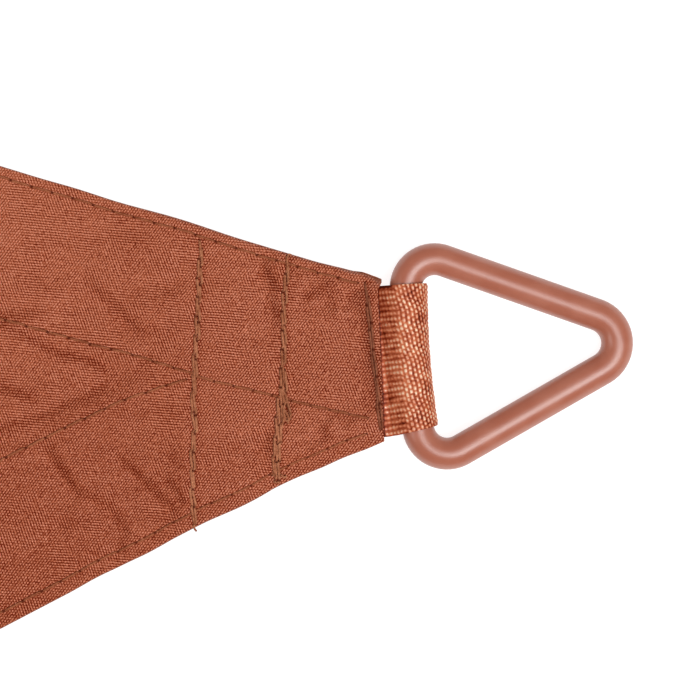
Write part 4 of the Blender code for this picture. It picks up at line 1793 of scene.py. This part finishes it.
        # Painted shadow along the webbing's left edge, next to the cloth's end.
        dark = smooth_step((t - self.dark_end[0]) / (0.4 * MM))
        dark = dark * (1 - smooth_step((points[:, :1] - self.dark_end[1]) / (0.5 * MM)))
        outward = np.maximum(0.0, normals[:, :1]) ** 2 * (points[:, :1] > self.base_s)
        inward = (self.waist * np.sin(math.pi * shares) + self.slant * (1 - shares))[None, :] * outward
        rim = np.minimum(1.0, np.minimum(shares, 1 - shares) * self.width / self.rim_width)[None, :]
        out = (relief - self.level) * self.bead_height * shown * rim - self.rim_drop * (1 - rim) - inward
        deep = -self.thickness - 0.33 * inward + 0 * out
        layers = []
        for depth in (out, deep):
            s = points[:, :1] + normals[:, :1] * depth
            z = points[:, 1:] + normals[:, 1:] * depth
            layers.append(np.column_stack([(s + 0 * t).ravel(), t.ravel(), (z + 0 * t).ravel()]))
        rows, columns = t.shape
        index = np.arange(rows * columns).reshape(rows, columns)
        count = rows * columns
        faces = [grid_faces(rows, columns), grid_faces(rows, columns, count, True),
                 strip_faces(index[:, 0], index[:, 0] + count),
                 strip_faces(index[:, -1] + count, index[:, -1]),
                 strip_faces(index[0] + count, index[0]),
                 strip_faces(index[-1], index[-1] + count)]
        mesh = mesh_of("webbing", np.concatenate(layers), np.concatenate(faces))
        # The relief picks the colour too: low relief is painted shade, high relief a painted highlight, and
        # the crack and dark end get painted shadow.
        seen = relief * shown * (1 - dark)
        mark_points(mesh, "relief", np.concatenate([seen.ravel(), np.full(count, self.back_relief)]))
        mesh.transform(Matrix.Translation((self.plan.end_x, 0, 0)))
        return mesh

    def build(self) -> list[bpy.types.Object]:
        """Returns:
            The pieces.
        """
        names = ("webbing", "webbing_loop")
        made = in_each_corner(self.mesh(), names, self.finish.material())
        return made


@dataclass
class WireRing:
    """Triangular ring bent from round coated wire."""

    plan: SailPlan
    finish: WireCoating
    wire_radius: float = 3.2 * MM
    base_s: float = 5.8 * MM
    base_bend: float = 5.8 * MM
    base_bend_t: float = 13.66 * MM
    tip_bend: float = 6.0 * MM
    tip_s: float = 50.2 * MM
    shift: float = 0.3 * MM
    bar_z: float = 4.5 * MM
    sides: int = 32
    bend_steps: int = 18

    def outline(self) -> np.ndarray:
        """The three corners of the triangle that the wire's centre line is bent from.

        Returns:
            The corners, and the bar's middle.
        """
        tip_centre = self.tip_s - self.wire_radius - self.tip_bend
        base_centre = self.base_s + self.base_bend
        run = tip_centre - base_centre
        half = math.atan2(self.base_bend_t, run)
        half -= math.asin((self.tip_bend - self.base_bend) / math.hypot(run, self.base_bend_t))
        reach = math.cos(half) * self.base_bend_t + self.base_bend
        tip = base_centre + reach / math.sin(half)
        side = self.base_bend_t + self.base_bend * (1 + math.sin(half)) / math.cos(half)
        bar = self.base_s
        return np.array([(bar, -side, 0), (bar, 0, 0), (bar, side, 0), (tip, 0, 0)])

    def tree(self, material: bpy.types.Material) -> Tree:
        """Tree that rounds an outline's corners and sweeps the wire along it.

        Args:
            material: The wire's material.

        Returns:
            The tree.
        """
        tree = Tree("bent_wire", {
            "Radius": self.wire_radius, "Sides": self.sides, "Bend Steps": self.bend_steps,
            "Material": material})
        radius = tree.node("GeometryNodeInputRadius", {}, {})
        bent = tree.node("GeometryNodeFilletCurve", {"mode": "POLY"}, {
            "Curve": tree.given("Geometry"), "Count": tree.given("Bend Steps"), "Radius": radius.outputs[0]})
        plain = tree.node("GeometryNodeSetCurveRadius", {}, {"Curve": bent.outputs[0], "Radius": 1.0})
        tree.sweep(plain.outputs[0], caps=False)
        return tree

    def lean(self) -> Matrix:
        """The tip leans down until it rests on the surface.

        Returns:
            The matrix that puts a flat ring into its place.
        """
        reach = self.tip_s - self.wire_radius - self.base_s
        angle = math.asin((self.bar_z - self.wire_radius) / reach)
        bar = Matrix.Translation((self.plan.end_x + self.base_s, 0, self.bar_z))
        return bar @ Matrix.Rotation(angle, 4, "Y") @ Matrix.Translation((-self.base_s, self.shift, 0))

    def build(self) -> list[bpy.types.Object]:
        """Make the three rings.

        Returns:
            The pieces.
        """
        material = self.finish.material()
        radii = [self.base_bend, 0.0, self.base_bend, self.tip_bend]
        master = self.tree(material).run(curve_object("ring_outline", [self.outline()], True, radii))
        master.transform(self.lean())
        return in_each_corner(master, ("ring_wire", "ring"), material)


@dataclass
class Stitches:
    """Every thread that shows on the cloth."""

    plan: SailPlan
    top: ClothTop
    sewing: Sewing
    hem_thread: SewingThread = SewingThread("hem_thread", srgb(134, 67, 40), srgb(174, 103, 71))
    cross_thread: SewingThread = SewingThread("cross_thread", srgb(138, 74, 45), srgb(200, 131, 96))
    end_thread: SewingThread = SewingThread("end_thread", srgb(118, 58, 36), srgb(170, 104, 76))
    sides: int = 5
    segments: int = 6
    seed: int = 7
    jitter: float = 0.25              # how uneven the stitches are, as a share of their arch
    thinning: float = 0.65            # share of its radius that a thread has at its punctures
    loose_radius: float = 0.22 * MM

    def tree(self, sewn: Stitching, pitch: float, material: bpy.types.Material) -> Tree:
        """Tree that lays one stitch after another along each line.

        Args:
            sewn: How the row is sewn.
            pitch: The length of one stitch, fitted to the row.
            material: The thread's material.

        Returns:
            The tree.
        """
        tree = Tree("stitch_row", {
            "Pitch": pitch, "Step": pitch / self.segments, "Radius": sewn.radius, "Sides": self.sides,
            "Arch": sewn.arch, "Dip": -sewn.dip, "Lean": sewn.lean, "Jitter": self.jitter,
            "Seed": self.seed, "Material": material})
        even = tree.node("GeometryNodeResampleCurve", {"mode": "LENGTH"}, {
            "Curve": tree.given("Geometry"), "Length": tree.given("Step")})
        place = tree.node("GeometryNodeSplineParameter", {}, {})
        count = Value(tree, place.outputs["Length"]) / tree.given("Pitch")
        phase = count.fraction()
        hump = phase * (1.0 - phase) * 4.0
        # Inputs 2 and 3 are the least and the most that the node draws as a float in output 1.
        drawn = tree.node("FunctionNodeRandomValue", {"data_type": "FLOAT"}, {
            2: tree.given("Jitter") * -1.0, 3: tree.given("Jitter"),
            "ID": count.floor(), "Seed": tree.given("Seed")})
        size = Value(tree, drawn.outputs[1])
        dip = tree.given("Dip")
        rise = (tree.given("Arch") * (size + 1.0) - dip) * hump**0.6 + dip
        slide = size * tree.given("Radius") + tree.given("Lean") * (phase - 0.5)
        heading = tree.node("GeometryNodeInputTangent", {}, {})
        aside = tree.node("ShaderNodeVectorMath", {"operation": "CROSS_PRODUCT"}, {
            0: (0, 0, 1), 1: heading.outputs[0]})
        aside = tree.node("ShaderNodeVectorMath", {"operation": "SCALE"}, {
            0: aside.outputs[0], "Scale": slide})
        up = tree.node("ShaderNodeCombineXYZ", {}, {2: rise})
        offset = tree.node("ShaderNodeVectorMath", {"operation": "ADD"}, {
            0: aside.outputs[0], 1: up.outputs[0]})
        marked = tree.node("GeometryNodeStoreNamedAttribute", {"data_type": "FLOAT", "domain": "POINT"}, {
            "Geometry": even.outputs[0], "Name": "hump", "Value": hump})
        thinned = tree.node("GeometryNodeSetCurveRadius", {}, {
            "Curve": marked.outputs[0], "Radius": hump * (1 - self.thinning) + self.thinning})
        moved = tree.node("GeometryNodeSetPosition", {}, {
            "Geometry": thinned.outputs[0], "Offset": offset.outputs[0]})
        tree.sweep(moved.outputs[0])
        return tree

    def line(self, row: Row) -> np.ndarray:
        """A row's path laid on the cloth, in the frame."""
        z = self.top.at(row.path) + row.lift
        return np.column_stack([row.path[:, 0] + self.plan.end_x, row.path[:, 1], z])

    def loose_tree(self, material: bpy.types.Material) -> Tree:
        """Tree that sweeps a thread along each line.

        Args:
            material: The thread's material.

        Returns:
            The tree.
        """
        tree = Tree("loose_thread", {"Radius": self.loose_radius, "Sides": self.sides, "Material": material})
        marked = tree.node("GeometryNodeStoreNamedAttribute", {"data_type": "FLOAT", "domain": "POINT"}, {
            "Geometry": tree.given("Geometry"), "Name": "hump", "Value": 1.0})
        tree.sweep(marked.outputs[0])
        return tree

    def loose_threads(self) -> bpy.types.Object:
        """The loose ends at the rows' ends.

        Returns:
            The piece.
        """
        material = self.cross_thread.material()
        lines = []
        for points in LOOSE_THREADS:
            plan = smooth_path([point[:2] for point in points], 5)
            places = np.linspace(0, len(points) - 1, len(plan))
            lift = np.interp(places, np.arange(len(points)), [point[2] * MM for point in points])
            line = np.column_stack([plan[:, 0] + self.plan.end_x, plan[:, 1], self.top.at(plan) + lift])
            lines += [corner.turned(line) for corner in Corner]
        mesh = self.loose_tree(material).run(curve_object("loose_threads", lines))
        return finished("loose_threads", mesh, material)

    def sew(self, name: str, rows: Sequence[Row], thread: SewingThread) -> bpy.types.Object:
        """Sew some rows in all three corners, as one piece.

        Args:
            name: The piece's name.
            rows: The rows.
            thread: Their thread.

        Returns:
            The piece.
        """
        material = thread.material()
        bm = bmesh.new()
        for row in rows:
            lines = [corner.turned(self.line(row)) for corner in Corner]
            pitch = path_length(row.path) / row.stitches
            mesh = self.tree(row.sewn, pitch, material).run(curve_object(name, lines))
            bm.from_mesh(mesh)
            bpy.data.meshes.remove(mesh)
        joined = bpy.data.meshes.new(name)
        bm.to_mesh(joined)
        bm.free()
        return finished(name, joined, material)

    def build(self) -> list[bpy.types.Object]:
        """Sew every row.

        Returns:
            The pieces.
        """
        groups = (
            ("outer_hem_stitches", OUTER_HEM, self.hem_thread),
            ("inner_hem_stitches", INNER_HEM, self.hem_thread),
            ("extension_stitches", EXTENSION, self.hem_thread),
            ("cross_stitches", CROSS, self.cross_thread),
            ("end_stitches", THIN, self.end_thread),
        )
        rows = self.sewing.rows() + self.sewing.cross_strands()
        made = []
        for name, sewn, thread in groups:
            made.append(self.sew(name, [row for row in rows if row.sewn is sewn], thread))
        return [*made, self.loose_threads()]


@dataclass(frozen=True)
class Lamp:
    """A soft sun: where it stands in degrees off the zenith, as pictured, its width and its strength."""

    right: float
    up: float
    width: float
    strength: float


@dataclass
class Studio:
    """Floor, lights and camera."""

    plan: SailPlan
    floor: Floor
    lamps: tuple[Lamp, ...] = (
        Lamp(8, -4, 16, 0.24),
        Lamp(10, -4, 46, 0.62),
        Lamp(22, -3, 18, 0.30),
        Lamp(2, -14, 16, 0.14),
        Lamp(18, -18, 20, 0.62),
        Lamp(36, -10, 20, 0.42),
        Lamp(-50, -8, 26, 0.36),
    )
    sky: float = 0.25
    floor_size: float = 60.0
    floor_z: float = -0.3 * MM
    picture_width: float = 135.4 * MM
    lens: float = 200.0
    sensor: float = 36.0
    near_clip: float = 0.01
    look_s: float = -8.4 * MM
    look_t: float = 5.7 * MM
    look_z: float = 2.5 * MM
    roll: float = math.radians(-5.2)

    def build(self) -> None:
        """Set up the floor, the lights and the camera."""
        bpy.context.scene.view_settings.view_transform = "Standard"
        self.lay_floor()
        self.light()
        self.aim()

    def lay_floor(self) -> None:
        """Lay a floor under the sail."""
        half = self.floor_size / 2
        corners = np.array([(-half, -half), (half, -half), (half, half), (-half, half)])
        points = np.column_stack([corners, np.full(4, self.floor_z)])
        mesh = mesh_of("floor", points, np.array([[0, 1, 2, 3]]))
        mesh.materials.append(self.floor.material())
        floor = placed("floor", mesh)

    def light(self) -> None:
        """Light the scene with a pale sky and soft suns."""
        world = bpy.data.worlds.new("studio")
        world.use_nodes = True
        sky = world.node_tree.nodes["Background"].inputs
        sky[0].default_value = (1, 1, 1, 1)
        sky[1].default_value = self.sky
        bpy.context.scene.world = world
        for number, lamp in enumerate(self.lamps):
            light = bpy.data.lights.new(f"lamp_{number}", "SUN")
            light.energy = lamp.strength
            light.angle = math.radians(lamp.width)
            off = math.radians(math.hypot(lamp.right, lamp.up))
            bearing = math.atan2(lamp.up, lamp.right) + self.roll
            level = math.sin(off)
            toward = Vector((math.cos(bearing) * level, math.sin(bearing) * level, math.cos(off)))
            placed(light.name, light).rotation_euler = toward.to_track_quat("Z", "Y").to_euler()

    def aim(self) -> None:
        """Aim the camera as the photo was taken."""
        camera = bpy.data.cameras.new("camera")
        camera.lens = self.lens
        camera.sensor_width = self.sensor
        camera.clip_start = self.near_clip
        holder = placed("camera", camera)
        height = self.look_z + self.picture_width * self.lens / self.sensor
        holder.location = (self.plan.end_x + self.look_s, self.look_t, height)
        holder.rotation_euler = (0, 0, self.roll)
        bpy.context.scene.camera = holder


def main() -> None:
    """Build every piece in order."""
    logging.basicConfig(level=logging.INFO, format="%(message)s")
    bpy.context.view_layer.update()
    plan = SailPlan()
    sewing = Sewing(plan)
    relief = ClothRelief(plan, sewing)
    studio = Studio(plan, Floor())
    studio.build()
    cloth = SailCloth(plan, relief, WovenCloth())
    sheet = cloth.build()
    WebbingLoop(plan, relief, WovenWebbing()).build()
    WireRing(plan, WireCoating()).build()
    sewn = Stitches(plan, ClothTop(plan, relief), sewing).build()


if __name__ == "__main__":
    main()
